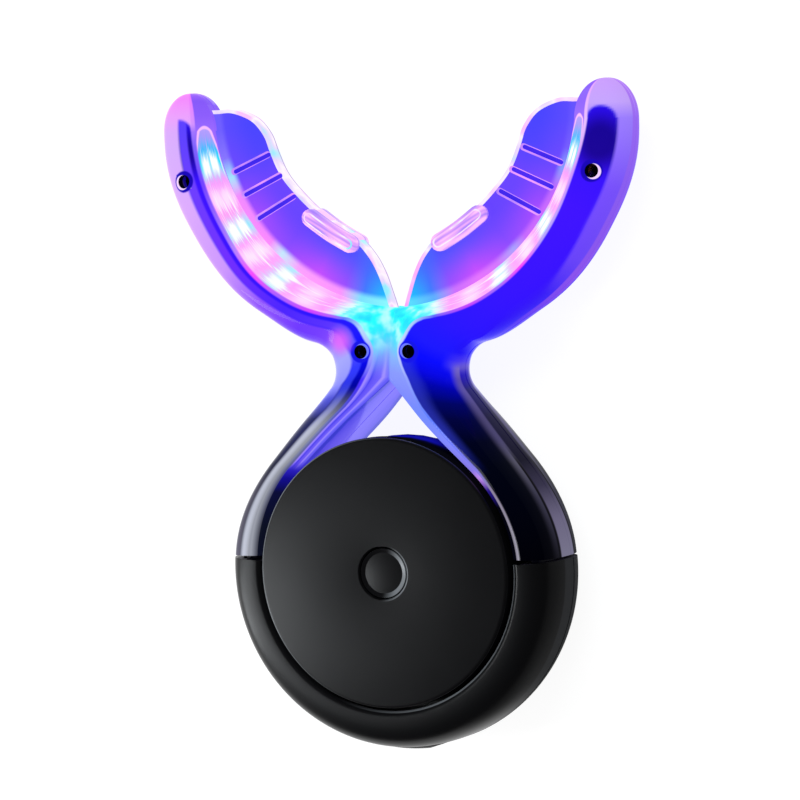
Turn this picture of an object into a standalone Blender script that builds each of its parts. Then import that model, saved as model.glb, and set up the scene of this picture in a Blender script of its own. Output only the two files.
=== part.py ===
"""Teeth whitening lamp: a two-winged, lit mouth tray on clear arms round a battery puck.

It lies on its rear cover: +Z is the axis of the puck, +Y runs from the puck to the tray,
and the origin is where the axis meets the face that it rests on.
"""

import math

import bmesh
import bpy
import numpy as np
from mathutils import Matrix, Vector

MM = 0.001

# Fits shared by every piece
GAP = 0.3 * MM
OVERRUN = 2.0 * MM
PLAIN_EDGE = 0.35 * MM

# Puck: the arms' radius round it and its thickness drive the rest
PUCK_THICKNESS = 16.4 * MM
ARM_RADIUS = 22.95 * MM
SHELL_STEP = 0.25 * MM
RING_WIDTH = 5.05 * MM
DRUM_CLEARANCE = 0.7 * MM
COVER_OVERHANG = 0.25 * MM
COVER_PLATE = 1.6 * MM
COVER_LIP_WALL = 1.3 * MM
COVER_LIP_DEPTH = 1.6 * MM
COVER_RIM_DEPTH = 2.4 * MM
DRUM_WALL = 1.3 * MM
FLOOR_THICKNESS = 1.0 * MM
FLOOR_TOP = 0.1 * MM
DRUM_TAPER_TOP = -0.6 * MM
REAR_INSET = 1.25 * MM
REAR_EDGE = 1.0 * MM
SHELL_WALL = 1.1 * MM
SEAM_Y = 1.3 * MM
SHELL_RIM_SHARE = 0.925
SHELL_BAND = 0.5 * MM
SHELL_SQUARENESS = 3.6
SHELL_REAR_SQUARENESS = 1.8
SHELL_REAR_SHARE = 0.85
shell_degrees = range(8, -101, -6)
shell_hollow_degrees = range(12, -107, -6)

# Button and switch
BUTTON_RADIUS = 3.05 * MM
BUTTON_SINK = 0.2 * MM
BUTTON_DISH = 0.7 * MM
dish_shares = (0, 0.25, 0.5, 0.7, 0.86)
BUTTON_FLANGE_WIDTH = 1.25 * MM
BUTTON_FLANGE_THICKNESS = 0.5 * MM
BUTTON_STEM = 1.3 * MM
BUTTON_STEM_LENGTH = 0.8 * MM
BUTTON_TRAVEL = 0.5 * MM
BUTTON_WELL_EDGE = 0.45 * MM
SWITCH_SIDE = 4.6 * MM
PLUNGER_RADIUS = 0.9 * MM
PLUNGER_SEAT_SHARE = 0.37
PLUNGER_PROUD = 0.6 * MM

# Inside the puck
BOARD_CLEARANCE = 0.6 * MM
BOARD_THICKNESS = 1.0 * MM
BOARD_STANDOFF = 0.8 * MM
BOARD_SCREW_INSET = 3.1 * MM
board_screw_degrees = (60, 180, 300)
BOARD_SCREW_SHANK = 0.7 * MM
BOARD_SCREW_HEAD = 1.3 * MM
BOARD_SCREW_HEAD_HEIGHT = 0.8 * MM
BOARD_SCREW_LENGTH = 2.6 * MM
BOSS_RADIUS = 2.0 * MM
BATTERY_LENGTH_SHARE = 0.734
BATTERY_WIDTH_SHARE = 0.629
BATTERY_CORNER = 1.5 * MM
FOAM_THICKNESS = 0.8 * MM
CHIP_SIDE = 4.0 * MM
CHIP_HEIGHT = 0.9 * MM
CHIP_INSET = 7.3 * MM
BUZZER_RADIUS = 2.6 * MM
BUZZER_HEIGHT = 2.4 * MM
BUZZER_INSET = 6.7 * MM
CONNECTOR_DEPTH = 2.0 * MM
CONNECTOR_LENGTH = 3.4 * MM
CONNECTOR_HEIGHT = 1.5 * MM

# Charge port
SOCKET_WIDTH = 7.5 * MM
SOCKET_HEIGHT = 2.7 * MM
SOCKET_DEPTH = 6.2 * MM
SOCKET_WALL = 0.3 * MM
SOCKET_MOUTH_DEPTH = 4.4 * MM
SOCKET_SINK = 1.3 * MM
PLUG_BORDER_WIDTH = 0.85 * MM
PLUG_BORDER_HEIGHT = 1.05 * MM
PLUG_PROUD = 0.4 * MM
PLUG_SEAT = 0.7 * MM
PLUG_TONGUE_DEPTH = 2.6 * MM
PLUG_TONGUE_CLEARANCE = 0.35 * MM

# Clear arms
ARM_TAPER = 0.8 * MM
SHOULDER_ANGLE = math.radians(47)
WAIST_HALF = 8.8 * MM
WAIST_FILLET = 3.8 * MM
WAIST_RISE = 2.55 * MM
ARM_OVERLAP = 0.6 * MM

# Wings: their outer arc drives the arc of the window foot
WING_CENTRE_X = 4.3 * MM
WING_RADIUS = 29.2 * MM
WING_END_ANGLE = math.radians(-0.5)
WINDOW_OFFSET_X = -5.55 * MM
WINDOW_OFFSET_Y = 3.51 * MM
WINDOW_INSET = 2.0 * MM
WINDOW_HEEL_ANGLE = math.radians(-75)
WINDOW_END_ANGLE = math.radians(-7.8)
WING_LAG = 1.25
TIP_LENGTH = 5.1 * MM
WINDOW_BAND = 2.7 * MM
LIP_THICKNESS = 0.4 * MM
HOLLOW_BAND_SHARE = 0.4
SLANT_REACH = 0.1
SLANT_LEAST = 0.5

# Places along an arm: 0 seam, 1 shoulder, 2 crotch, 3 heel of the wing, 4 end of the window
rim_shares = (
    (-1, 0.925), (0, 0.925), (1, 0.985), (1.5, 0.93), (2, 0.71), (2.5, 0.67), (3, 0.65), (3.2, 0.68),
    (3.4, 0.66), (3.6, 0.56), (3.8, 0.53), (4, 0.41),
)
band_shares = (
    (-1, 0.3), (0, 0.38), (1, 0.53), (1.5, 0.8), (2, 1.05), (2.27, 1.05), (2.55, 1.75), (2.78, 1.2),
    (3, 0.95), (3.2, 1.07), (3.4, 1.1), (3.6, 0.96), (3.8, 0.86), (4, 0.87),
)
foot_shares = (
    (-1, 0.9), (0, 0.86), (1, 0.8), (1.5, 0.8), (2, 0.58), (2.3, 0.45), (2.6, 0.02), (3, 0.0), (4, 0.0),
)
crest_shares = ((-1, 0.02), (0, 0.02), (1, 0.03), (2, 0.05), (3, 0.1), (3.6, 0.17), (4, 0.14))
squareness = ((-1, 3.6), (0, 3.6), (1, 2.9), (2, 2.6), (3, 2.35), (4, 2.3))
rear_squareness = ((-1, 1.8), (0, 1.8), (1, 1.8), (1.5, 1.8), (2, 1.95), (3, 2.25), (4, 2.3))
rear_shares = ((-1, 0.85), (0, 0.85), (1, 0.92), (1.5, 1.0), (2, 1.0), (3, 1.0), (4, 1.0))
tip_degrees = (22, 42, 58, 70, 79)
TIP_FALL = 0.6

# Mouthpiece
PLATE_THICKNESS = 1.8 * MM
PLATE_GRIP = 1.3 * MM
PLATE_REACH_INSET = 0.4 * MM
PLATE_LENGTH_INSET = 0.7 * MM
NOTCH_SINK = 0.16 * MM
NOTCH_HALF = 0.75 * MM
plate_edge_shares = (
    (0.028, 0.0), (0.05, 0.07), (0.09, 0.18), (0.145, 0.275), (0.235, 0.365), (0.41, 0.475),
    (0.542, 0.6), (0.607, 0.685), (0.65, 0.78), (0.685, 0.87), (0.755, 0.95), (0.865, 0.995),
    (0.945, 0.995),
)
GROOVE_WIDTH = 0.85 * MM
GROOVE_DEPTH = 0.4 * MM
groove_shares = (
    ((0.66, 0.777), (0.885, 0.682)),
    ((0.6, 0.672), (0.832, 0.566)),
    ((0.53, 0.57), (0.762, 0.447)),
)
PAD_WIDTH = 2.3 * MM
PAD_HEIGHT = 1.3 * MM
pad_shares = ((0.22, 0.318), (0.335, 0.388), (0.455, 0.468))

# Light behind the windows
FLEX_THICKNESS = 0.3 * MM
FLEX_HALF = 2.2 * MM
TAIL_CLEARANCE = 0.4 * MM
TAIL_STAGE = 0.3
TAIL_ENTRY = 2.3 * MM
LIGHT_BAY = 4.1 * MM
flex_depth_shares = (
    (-1, 0.4), (0, 0.4), (0.5, 0.41), (1, 0.43), (1.5, 0.56), (1.83, 0.64), (2, 0.56), (2.2, 0.52),
    (2.4, 0.6), (2.75, 1.27), (2.9, 1.2), (3, 1.07), (3.07, 0.98), (3.2, 0.9), (3.4, 0.87), (4, 0.87),
)
core_depth_shares = (
    (-1, 0.54), (0, 0.54), (0.5, 0.56), (1, 0.6), (1.5, 0.79), (1.83, 0.93), (2, 0.83), (2.2, 0.73),
    (2.35, 0.86), (2.5, 1.4), (2.6, 1.54), (2.75, 1.58), (2.9, 1.43), (3, 1.27), (3.1, 1.13), (3.2, 1.07),
    (3.4, 1.03), (4, 1.03),
)
CORE_CLEARANCE = 0.45 * MM
HOLLOW_START = -0.25
CORE_START = -0.3
CORE_END = 3.97
FLEX_END = 3.95
FLEX_BRIDGE_START = 2.45
FLEX_BRIDGE_END = 2.72
led_stages = (2.98, 3.16, 3.32, 3.46, 3.59, 3.72, 3.86)
LED_DEPTH = 0.55 * MM
LED_LENGTH = 1.6 * MM
LED_HEIGHT = 0.9 * MM
LED_LEVEL = 1.55 * MM

# Locating pins under the four holes
PIN_RADIUS = 0.55 * MM
PIN_HOLE_RADIUS = 0.85 * MM
PIN_SINK = 0.25 * MM
WAIST_PIN_X = 3.4 * MM
WAIST_PIN_RISE = 2.8 * MM
WING_PIN_INSET = 3.6 * MM
WING_PIN_ANGLE = math.radians(-15.2)

# Fineness of round shapes
ROUND_STEPS = 48
SMALL_ROUND_STEPS = 24
FINE_ROUND_STEPS = 16
SCREW_ROUND_STEPS = 12
SECTION_STEPS = 5
CORE_STEPS = 4
CURVE_STEPS = 3
CAP_STEPS = 5
RIM_STEPS = 28
stage_steps = ((-1, 0.25), (0, 1 / 6), (1, 1 / 6), (2, 1 / 10), (3, 1 / 14))
STAGE_TOLERANCE = 0.000001
PIN_SEARCH_FINENESS = 4
SMOOTH_ANGLE = math.radians(32)
WELD = 0.001 * MM

# Heights, measured from the middle of the thickness
HALF = PUCK_THICKNESS / 2
COVER_UNDERSIDE = HALF - COVER_PLATE
COVER_RIM_FOOT = HALF - COVER_RIM_DEPTH
COVER_LIP_FOOT = COVER_RIM_FOOT - COVER_LIP_DEPTH
DRUM_END = COVER_RIM_FOOT - GAP
BOARD_BOTTOM = FLOOR_TOP + BOARD_STANDOFF
BOARD_TOP = BOARD_BOTTOM + BOARD_THICKNESS
FLANGE_TOP = COVER_UNDERSIDE - GAP
FLANGE_BOTTOM = FLANGE_TOP - BUTTON_FLANGE_THICKNESS
STEM_FOOT = FLANGE_BOTTOM - BUTTON_STEM_LENGTH
SWITCH_TOP = STEM_FOOT - GAP - PLUNGER_PROUD
SWITCH_FOOT = BOARD_TOP + GAP
PLUNGER_SEAT = (SWITCH_TOP - SWITCH_FOOT) * PLUNGER_SEAT_SHARE
TAIL_LOW = BOARD_TOP + TAIL_CLEARANCE
TAIL_HIGH = COVER_LIP_FOOT - TAIL_CLEARANCE
PLATE_HALF = PLATE_THICKNESS / 2
LIP_FOOT = PLATE_HALF + GAP
LIP_TOP = LIP_FOOT + LIP_THICKNESS

# Sizes that follow the arms' radius
SHELL_RADIUS = ARM_RADIUS + SHELL_STEP
SHELL_BORE = ARM_RADIUS - RING_WIDTH
DRUM_RADIUS = SHELL_BORE - DRUM_CLEARANCE
DRUM_BORE = DRUM_RADIUS - DRUM_WALL
COVER_RADIUS = DRUM_RADIUS + COVER_OVERHANG
COVER_LIP_OUTER = DRUM_BORE - GAP
COVER_LIP_INNER = COVER_LIP_OUTER - COVER_LIP_WALL
BOARD_RADIUS = DRUM_BORE - BOARD_CLEARANCE
BOARD_SCREW_CIRCLE = BOARD_RADIUS - BOARD_SCREW_INSET
BATTERY_ROOM = 2 * (COVER_LIP_INNER - REAR_INSET)
BATTERY_LENGTH = BATTERY_ROOM * BATTERY_LENGTH_SHARE
BATTERY_WIDTH = BATTERY_ROOM * BATTERY_WIDTH_SHARE
CHIP_Y = BOARD_RADIUS - CHIP_INSET
BUZZER_Y = BUZZER_INSET - BOARD_RADIUS
TAIL_REACH = DRUM_BORE - TAIL_ENTRY

# Sizes that follow others
BUTTON_FLANGE = BUTTON_RADIUS + BUTTON_FLANGE_WIDTH
PLUG_WIDTH = SOCKET_WIDTH + 2 * PLUG_BORDER_WIDTH
PLUG_HEIGHT = SOCKET_HEIGHT + 2 * PLUG_BORDER_HEIGHT


def clear_scene():
    for thing in list(bpy.data.objects):
        bpy.data.objects.remove(thing)


def material(name, red, green, blue, roughness, metallic=0.0, transmission=0.0):
    found = bpy.data.materials.new(name)
    found.use_nodes = True
    shader = found.node_tree.nodes["Principled BSDF"]
    shader.inputs["Base Color"].default_value = (red, green, blue, 1)
    shader.inputs["Roughness"].default_value = roughness
    shader.inputs["Metallic"].default_value = metallic
    shader.inputs["Transmission Weight"].default_value = transmission
    found.diffuse_color = (red, green, blue, 1)
    return found


def finished(name, bm, finish, smooth=True):
    """Put a bmesh that is built about the middle plane into an object at its height."""
    bmesh.ops.remove_doubles(bm, verts=bm.verts, dist=WELD)
    bmesh.ops.recalc_face_normals(bm, faces=bm.faces)
    mesh = bpy.data.meshes.new(name)
    bm.to_mesh(mesh)
    bm.free()
    piece = bpy.data.objects.new(name, mesh)
    piece.location = (0, 0, HALF)
    bpy.context.collection.objects.link(piece)
    piece.data.materials.append(finish)
    if smooth:
        piece.data.shade_smooth()
        piece.data.set_sharp_from_angle(angle=SMOOTH_ANGLE)
    return piece


def carve(piece, cutter_bm, operation="DIFFERENCE"):
    """Apply a Boolean with a mesh that is used once."""
    cutter = finished(piece.name + "_cutter", cutter_bm, piece.data.materials[0], smooth=False)
    modifier = piece.modifiers.new("Carve", "BOOLEAN")
    modifier.operation = operation
    modifier.solver = "EXACT"
    modifier.object = cutter
    depsgraph = bpy.context.evaluated_depsgraph_get()
    carved = bpy.data.meshes.new_from_object(piece.evaluated_get(depsgraph))
    piece.modifiers.clear()
    piece.data = carved
    bpy.data.objects.remove(cutter)
    piece.data.shade_smooth()
    piece.data.set_sharp_from_angle(angle=SMOOTH_ANGLE)


def mirror_halves(piece):
    """Keep the +X half and mirror it, joined at the middle plane."""
    mirror = piece.modifiers.new("Mirror", "MIRROR")
    mirror.use_axis = (True, False, False)
    mirror.use_bisect_axis = (True, False, False)
    mirror.use_clip = True
    mirror.merge_threshold = WELD
    mirror.bisect_threshold = WELD


def box(low, high):
    bm = bmesh.new()
    bmesh.ops.create_cube(bm, size=1)
    low = Vector(low)
    high = Vector(high)
    bmesh.ops.scale(bm, vec=high - low, verts=bm.verts)
    bmesh.ops.translate(bm, vec=(low + high) / 2, verts=bm.verts)
    return bm


def rounded_box(low, high, edge):
    bm = box(low, high)
    bmesh.ops.bevel(
        bm, geom=bm.edges[:], offset=edge, affect="EDGES", segments=2, profile=0.5, material=-1
    )
    return bm


def turned(profile, steps=ROUND_STEPS, centre=(0, 0)):
    """Turn a closed outline of (radius, height) points about the upright axis at centre."""
    bm = bmesh.new()
    corners = [bm.verts.new((radius, 0, height)) for radius, height in profile]
    edges = [bm.edges.new(pair) for pair in zip(corners, corners[1:] + corners[:1])]
    bmesh.ops.spin(
        bm, geom=corners + edges, axis=(0, 0, 1), cent=(0, 0, 0), angle=math.tau, steps=steps,
        use_merge=True,
    )
    bmesh.ops.remove_doubles(bm, verts=bm.verts, dist=WELD)
    wires = [edge for edge in bm.edges if not edge.link_faces]
    bmesh.ops.delete(bm, geom=wires, context="EDGES")
    bmesh.ops.translate(bm, vec=(*centre, 0), verts=bm.verts)
    return bm


def rod(radius, low, high, centre=(0, 0), steps=SMALL_ROUND_STEPS):
    return turned([(0, low), (radius, low), (radius, high), (0, high)], steps, centre)


def extruded(outline, low, high):
    """A plate from a closed outline of (x, y) points."""
    bm = bmesh.new()
    face = bm.faces.new([bm.verts.new((x, y, low)) for x, y in outline])
    grown = bmesh.ops.extrude_face_region(bm, geom=[face])
    moved = [item for item in grown["geom"] if isinstance(item, bmesh.types.BMVert)]
    bmesh.ops.translate(bm, vec=(0, 0, high - low), verts=moved)
    return bm


def loft(rings):
    """A closed solid through rings of matching points."""
    bm = bmesh.new()
    loops = [[bm.verts.new(point) for point in ring] for ring in rings]
    count = len(loops[0])
    for near, far in zip(loops, loops[1:]):
        for i in range(count):
            j = (i + 1) % count
            bm.faces.new((near[i], near[j], far[j], far[i]))
    bm.faces.new(loops[0])
    bm.faces.new(reversed(loops[-1]))
    return bm


def other_side(bm):
    """The same mesh on the -X side."""
    bmesh.ops.scale(bm, vec=(-1, 1, 1), verts=bm.verts)
    bmesh.ops.reverse_faces(bm, faces=bm.faces)
    return bm


def eased(place, stations):
    """Read a smooth curve through (place, value) stations."""
    places = np.array([station[0] for station in stations], dtype=float)
    values = np.array([station[1] for station in stations], dtype=float)
    slopes = np.gradient(values, places)
    i = int(np.clip(np.searchsorted(places, place) - 1, 0, len(places) - 2))
    span = places[i + 1] - places[i]
    t = min(max((place - places[i]) / span, 0), 1)
    start = (2 * t**3 - 3 * t**2 + 1) * values[i] + (t**3 - 2 * t**2 + t) * span * slopes[i]
    end = (3 * t**2 - 2 * t**3) * values[i + 1] + (t**3 - t**2) * span * slopes[i + 1]
    return float(start + end)


def smooth_through(points):
    """Points of a Catmull-Rom curve through the given (x, y) points."""
    ends = [points[0], *points, points[-1]]
    curve = []
    for a, b, c, d in zip(ends, ends[1:], ends[2:], ends[3:]):
        for i in range(CURVE_STEPS):
            t = i / CURVE_STEPS
            curve.append(tuple(
                (2 * q + (r - p) * t + (2 * p - 5 * q + 4 * r - s) * t**2 + (3 * q - p - 3 * r + s) * t**3)
                / 2 for p, q, r, s in zip(a, b, c, d)
            ))
    curve.append(points[-1])
    return curve


def on_circle(radius, angle, centre=Vector((0, 0))):
    return centre + Vector((radius * math.cos(angle), radius * math.sin(angle)))


def between(a, b, share):
    return a + (b - a) * share


# The waist fillet touches the wing's outer arc and the straight outer side of the arm.
ARM_LINE_RADIUS = ARM_RADIUS - ARM_TAPER
WAIST_CENTRE = Vector((WAIST_HALF + WAIST_FILLET, ARM_RADIUS + WAIST_RISE))
WING_REACH = math.sqrt((WING_RADIUS + WAIST_FILLET) ** 2 - (WAIST_CENTRE.x - WING_CENTRE_X) ** 2)
WING_CENTRE = Vector((WING_CENTRE_X, WAIST_CENTRE.y + WING_REACH))
WINDOW_CENTRE = WING_CENTRE + Vector((WINDOW_OFFSET_X, WINDOW_OFFSET_Y))
WINDOW_RADIUS = WING_RADIUS - WINDOW_INSET
NOTCH_Y = WINDOW_CENTRE.y - WINDOW_RADIUS - NOTCH_SINK
PLATE_REACH = WINDOW_RADIUS - PLATE_REACH_INSET
PLATE_LENGTH = WINDOW_RADIUS - PLATE_LENGTH_INSET
WAIST_PIN = Vector((WAIST_PIN_X, WAIST_CENTRE.y + WAIST_PIN_RISE))
WING_PIN = on_circle(WING_RADIUS - WING_PIN_INSET, WING_PIN_ANGLE, WING_CENTRE)
WAIST_TOUCH = (WING_CENTRE - WAIST_CENTRE).normalized()
WAIST_END_ANGLE = math.atan2(WAIST_TOUCH.y, WAIST_TOUCH.x)
WING_START_ANGLE = WAIST_END_ANGLE - math.pi
ARM_LINE_ANGLE = math.atan2(WAIST_CENTRE.y, WAIST_CENTRE.x) - math.acos(
    (ARM_LINE_RADIUS + WAIST_FILLET) / WAIST_CENTRE.length
)
WINDOW_START_ANGLE = -math.acos((-WINDOW_CENTRE.x - ARM_OVERLAP) / WINDOW_RADIUS)
SEAM_INNER_ANGLE = math.asin(SEAM_Y / SHELL_BORE)
SEAM_OUTER_ANGLE = math.asin(SEAM_Y / ARM_RADIUS)
SHOULDER = on_circle(SHELL_BORE, SHOULDER_ANGLE)
CROTCH_Y = (SHELL_BORE + ARM_OVERLAP * math.cos(SHOULDER_ANGLE)) / math.sin(SHOULDER_ANGLE)
CROTCH = Vector((-ARM_OVERLAP, CROTCH_Y))
WINDOW_START = on_circle(WINDOW_RADIUS, WINDOW_START_ANGLE, WINDOW_CENTRE)
VALLEY_LENGTH = (WINDOW_START - CROTCH).length
HEEL_SHARE = VALLEY_LENGTH / (VALLEY_LENGTH + WINDOW_RADIUS * (WINDOW_HEEL_ANGLE - WINDOW_START_ANGLE))


def window_point(angle, depth=0):
    return on_circle(WINDOW_RADIUS + depth, angle, WINDOW_CENTRE)


def window_angle(stage):
    return WINDOW_HEEL_ANGLE + (WINDOW_END_ANGLE - WINDOW_HEEL_ANGLE) * (stage - 3)


def inner_point(stage):
    """Point of the inner path: round the puck, up the arm, up the valley, along the window."""
    if stage <= 1:
        return on_circle(SHELL_BORE, SEAM_INNER_ANGLE + (SHOULDER_ANGLE - SEAM_INNER_ANGLE) * stage)
    if stage <= 2:
        return between(SHOULDER, CROTCH, stage - 1)
    if stage <= 2 + HEEL_SHARE:
        return between(CROTCH, WINDOW_START, (stage - 2) / HEEL_SHARE)
    if stage <= 3:
        share = (stage - 2 - HEEL_SHARE) / (1 - HEEL_SHARE)
        return window_point(WINDOW_START_ANGLE + (WINDOW_HEEL_ANGLE - WINDOW_START_ANGLE) * share)
    return window_point(window_angle(stage))


def outer_point(stage):
    """Point of the outer side: round the puck, up the arm, round the waist, along the wing."""
    if stage <= 1:
        radius = ARM_RADIUS - ARM_TAPER * max(stage, 0) ** 2 * (3 - 2 * stage)
        return on_circle(radius, SEAM_OUTER_ANGLE + (ARM_LINE_ANGLE - SEAM_OUTER_ANGLE) * stage)
    turn = ARM_LINE_ANGLE + math.pi
    if stage <= 2:
        line_start = on_circle(ARM_LINE_RADIUS, ARM_LINE_ANGLE)
        return between(line_start, on_circle(WAIST_FILLET, turn, WAIST_CENTRE), stage - 1)
    if stage <= 3:
        return on_circle(WAIST_FILLET, turn + (WAIST_END_ANGLE - turn) * (stage - 2), WAIST_CENTRE)
    lag = (stage - 3) ** WING_LAG
    angle = WING_START_ANGLE + (WING_END_ANGLE - WING_START_ANGLE) * lag
    return on_circle(WING_RADIUS, angle, WING_CENTRE)


def rib_ends(stage):
    """Inner and outer end of the rib across the right arm at a stage of its length."""
    return inner_point(stage), outer_point(stage)


def slant(stage):
    """How much longer a depth is along the rib than square to the inner path."""
    ahead = (inner_point(min(stage + SLANT_REACH, 4)) - inner_point(stage - SLANT_REACH)).normalized()
    inner, outer = rib_ends(stage)
    along = (outer - inner).normalized()
    return 1 / max(along.x * ahead.y - along.y * ahead.x, SLANT_LEAST)


def profile_at(stage):
    """Measures of the shell's section at a stage, from the window foot."""
    inner, outer = rib_ends(stage)
    rim = HALF * eased(stage, rim_shares)
    return {
        "start": 0,
        "foot": LIP_TOP + (rim - LIP_TOP) * eased(stage, foot_shares),
        "band": WINDOW_BAND * eased(stage, band_shares),
        "rim": rim,
        "width": (outer - inner).length,
        "crest": rim * eased(stage, crest_shares),
        "power": eased(stage, squareness),
        "rear_power": eased(stage, rear_squareness),
        "rear_share": eased(stage, rear_shares),
    }


def section(start, foot, band, rim, width, crest, power, rear_power, rear_share):
    """Outline (distance from the window foot, height) of a shell section with a shallower rear."""
    front = half_section(start, foot, band, rim, width, crest, power)
    rear = half_section(start, foot, band, rim, width, crest, rear_power)
    return front + turned_over(rear, rear_share)


def half_section(start, foot, band, rim, width, crest, power):
    points = [(start, foot)]
    for i in range(SECTION_STEPS + 1):
        turn = math.pi / 2 * i / SECTION_STEPS
        along = band + (width - band) * math.sin(turn) ** (2 / power)
        height = rim * max(math.cos(turn), 0) ** (2 / power) + crest * math.sin(2 * turn)
        points.append((along, height if i < SECTION_STEPS else 0))
    return points


def turned_over(points, share):
    """The rear half of a section, from one drawn as a front half, without their common point."""
    return [(along, -height * share) for along, height in reversed(points[:-1])]


def stand(inner, outer, outline):
    """Stand a section outline up on the rib from inner to outer."""
    along = (outer - inner).normalized()
    return [(*(inner + along * distance), height) for distance, height in outline]


def stages(start, end, fineness=1.0):
    """Stages from start to end, closer where the arm bends more."""
    marks = [start]
    while marks[-1] < end - STAGE_TOLERANCE:
        step = [size for place, size in stage_steps if marks[-1] >= place - STAGE_TOLERANCE][-1]
        marks.append(min(marks[-1] + step / fineness, end))
    return marks


def body_ring(stage):
    return stand(*rib_ends(stage), section(**profile_at(stage)))


def tip_rings():
    """Rings of the rounded, solid end of the wing."""
    inner, outer = rib_ends(4)
    profile = profile_at(4)
    middle = between(inner, outer, 0.5)
    half = (outer - inner) / 2
    forward = Vector((-half.y, half.x)).normalized() * TIP_LENGTH
    rings = []
    for degrees in tip_degrees:
        turn = math.radians(degrees)
        share = math.cos(turn)
        place = middle + forward * math.sin(turn)
        lower = {key: profile[key] * share**TIP_FALL for key in ("foot", "rim", "crest")}
        narrower = {key: profile[key] * share for key in ("band", "width")}
        outline = section(**{**profile, **lower, **narrower})
        rings.append(stand(place - half * share, place + half * share, outline))
    return rings


def hollow_profile(stage):
    """Profile of the hollow behind the shell wall, measured from the window foot."""
    profile = profile_at(stage)
    start = SHELL_WALL * slant(stage)
    return {
        **profile,
        "start": start,
        "foot": profile["foot"] - SHELL_WALL / 2,
        "band": max(profile["band"] + HOLLOW_BAND_SHARE * SHELL_WALL, start + GAP),
        "rim": profile["rim"] - SHELL_WALL,
        "width": profile["width"] - SHELL_WALL,
    }


def roof_at(hollow, depth):
    """Height of the hollow's slanted roof at a depth behind the window foot."""
    share = (depth - hollow["start"]) / (hollow["band"] - hollow["start"])
    return hollow["foot"] + (hollow["rim"] - hollow["foot"]) * min(max(share, 0), 1)


def hollow_ring(stage):
    hollow = hollow_profile(stage)
    return stand(*rib_ends(stage), section(**hollow))


def core_ring(stage):
    """Section of the dark core that fills the hollow behind the flex strip."""
    hollow = hollow_profile(stage)
    depth = core_depth(stage)
    front = core_half(hollow, depth, hollow["power"])
    rear = core_half(hollow, depth, hollow["rear_power"])
    return stand(*rib_ends(stage), front + turned_over(rear, hollow["rear_share"]))


def core_half(hollow, depth, power):
    band = hollow["band"]
    rim = hollow["rim"] - CORE_CLEARANCE
    width = hollow["width"] - CORE_CLEARANCE
    first = max(depth + GAP, band)
    start_turn = math.asin(((first - band) / (width - band)) ** (power / 2))
    foot = min(roof_at(hollow, depth) - CORE_CLEARANCE, curve_height(depth, band, width, rim, power))
    points = [(depth, foot)]
    for i in range(CORE_STEPS + 1):
        turn = start_turn + (math.pi / 2 - start_turn) * i / CORE_STEPS
        along = band + (width - band) * math.sin(turn) ** (2 / power)
        points.append((along, rim * max(math.cos(turn), 0) ** (2 / power) if i < CORE_STEPS else 0))
    return points


def curve_height(along, band, width, rim, power):
    """Height of the rounded front of a section at a distance from the window foot."""
    share = min(max((along - band) / (width - band), 0), 1)
    return rim * (1 - share**power) ** (1 / power)


def flex_depth(stage):
    """Depth of the flex's middle along the rib, clear of the shell wall."""
    least = (SHELL_WALL + GAP + FLEX_THICKNESS) * slant(stage)
    return max(LIGHT_BAY * eased(stage, flex_depth_shares), least)


def core_depth(stage):
    """Depth where the core starts, clear of the flex."""
    least = flex_depth(stage) + (FLEX_THICKNESS / 2 + GAP) * slant(stage)
    return max(LIGHT_BAY * eased(stage, core_depth_shares), least)


def flex_half(stage):
    hollow = hollow_profile(stage)
    roof = roof_at(hollow, flex_depth(stage)) * hollow["rear_share"]
    return min(FLEX_HALF, roof - CORE_CLEARANCE)


def band_cutter(radius, half):
    """The flat disc, about the window's centre, that the clamped rim of the mouthpiece needs."""
    return rod(radius, -half, half, WINDOW_CENTRE, ROUND_STEPS * 2)


def clear_shell(name, finish, side):
    """Front (side 1) or rear (side -1) half of the clear arms and wings."""
    shell = finished(name, loft([body_ring(stage) for stage in stages(0, 4)] + tip_rings()), finish)
    cavity = [hollow_ring(stage) for stage in stages(HOLLOW_START, 4)]
    carve(shell, loft(cavity))
    carve(shell, band_cutter(WINDOW_RADIUS + PLATE_GRIP + GAP, LIP_FOOT))
    reach = WING_CENTRE.y * 2
    low = GAP / 2 if side > 0 else -PUCK_THICKNESS
    high = PUCK_THICKNESS if side > 0 else -GAP / 2
    carve(shell, box((-reach, -reach, low), (reach, reach, high)), "INTERSECT")
    if side > 0:
        for centre in (WAIST_PIN, WING_PIN):
            carve(shell, rod(PIN_HOLE_RADIUS, 0, PUCK_THICKNESS, centre, FINE_ROUND_STEPS))
        carve(shell, tail_slot())
    mirror_halves(shell)
    return shell


def tail_slot():
    """Slot that lets a flex tail pass from the right arm into the drum."""
    place, _ = rib_ends(TAIL_STAGE)
    return box(
        (DRUM_BORE - OVERRUN, place.y - FLEX_THICKNESS - 2 * GAP, TAIL_LOW - GAP),
        (SHELL_BORE + SHELL_WALL + GAP, place.y + FLEX_THICKNESS + 2 * GAP, TAIL_HIGH + GAP),
    )


def base_ring(angle, wall):
    """Section of the black lower shell at an angle, at its skin or a wall inside it."""
    rim = HALF * SHELL_RIM_SHARE - wall
    outline = section(
        start=wall,
        foot=rim - SHELL_BAND,
        band=wall + SHELL_BAND,
        rim=rim,
        width=SHELL_RADIUS - SHELL_BORE - wall,
        crest=0,
        power=SHELL_SQUARENESS,
        rear_power=SHELL_REAR_SQUARENESS,
        rear_share=SHELL_REAR_SHARE,
    )
    return stand(on_circle(SHELL_BORE, angle), on_circle(SHELL_RADIUS, angle), outline)


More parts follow.
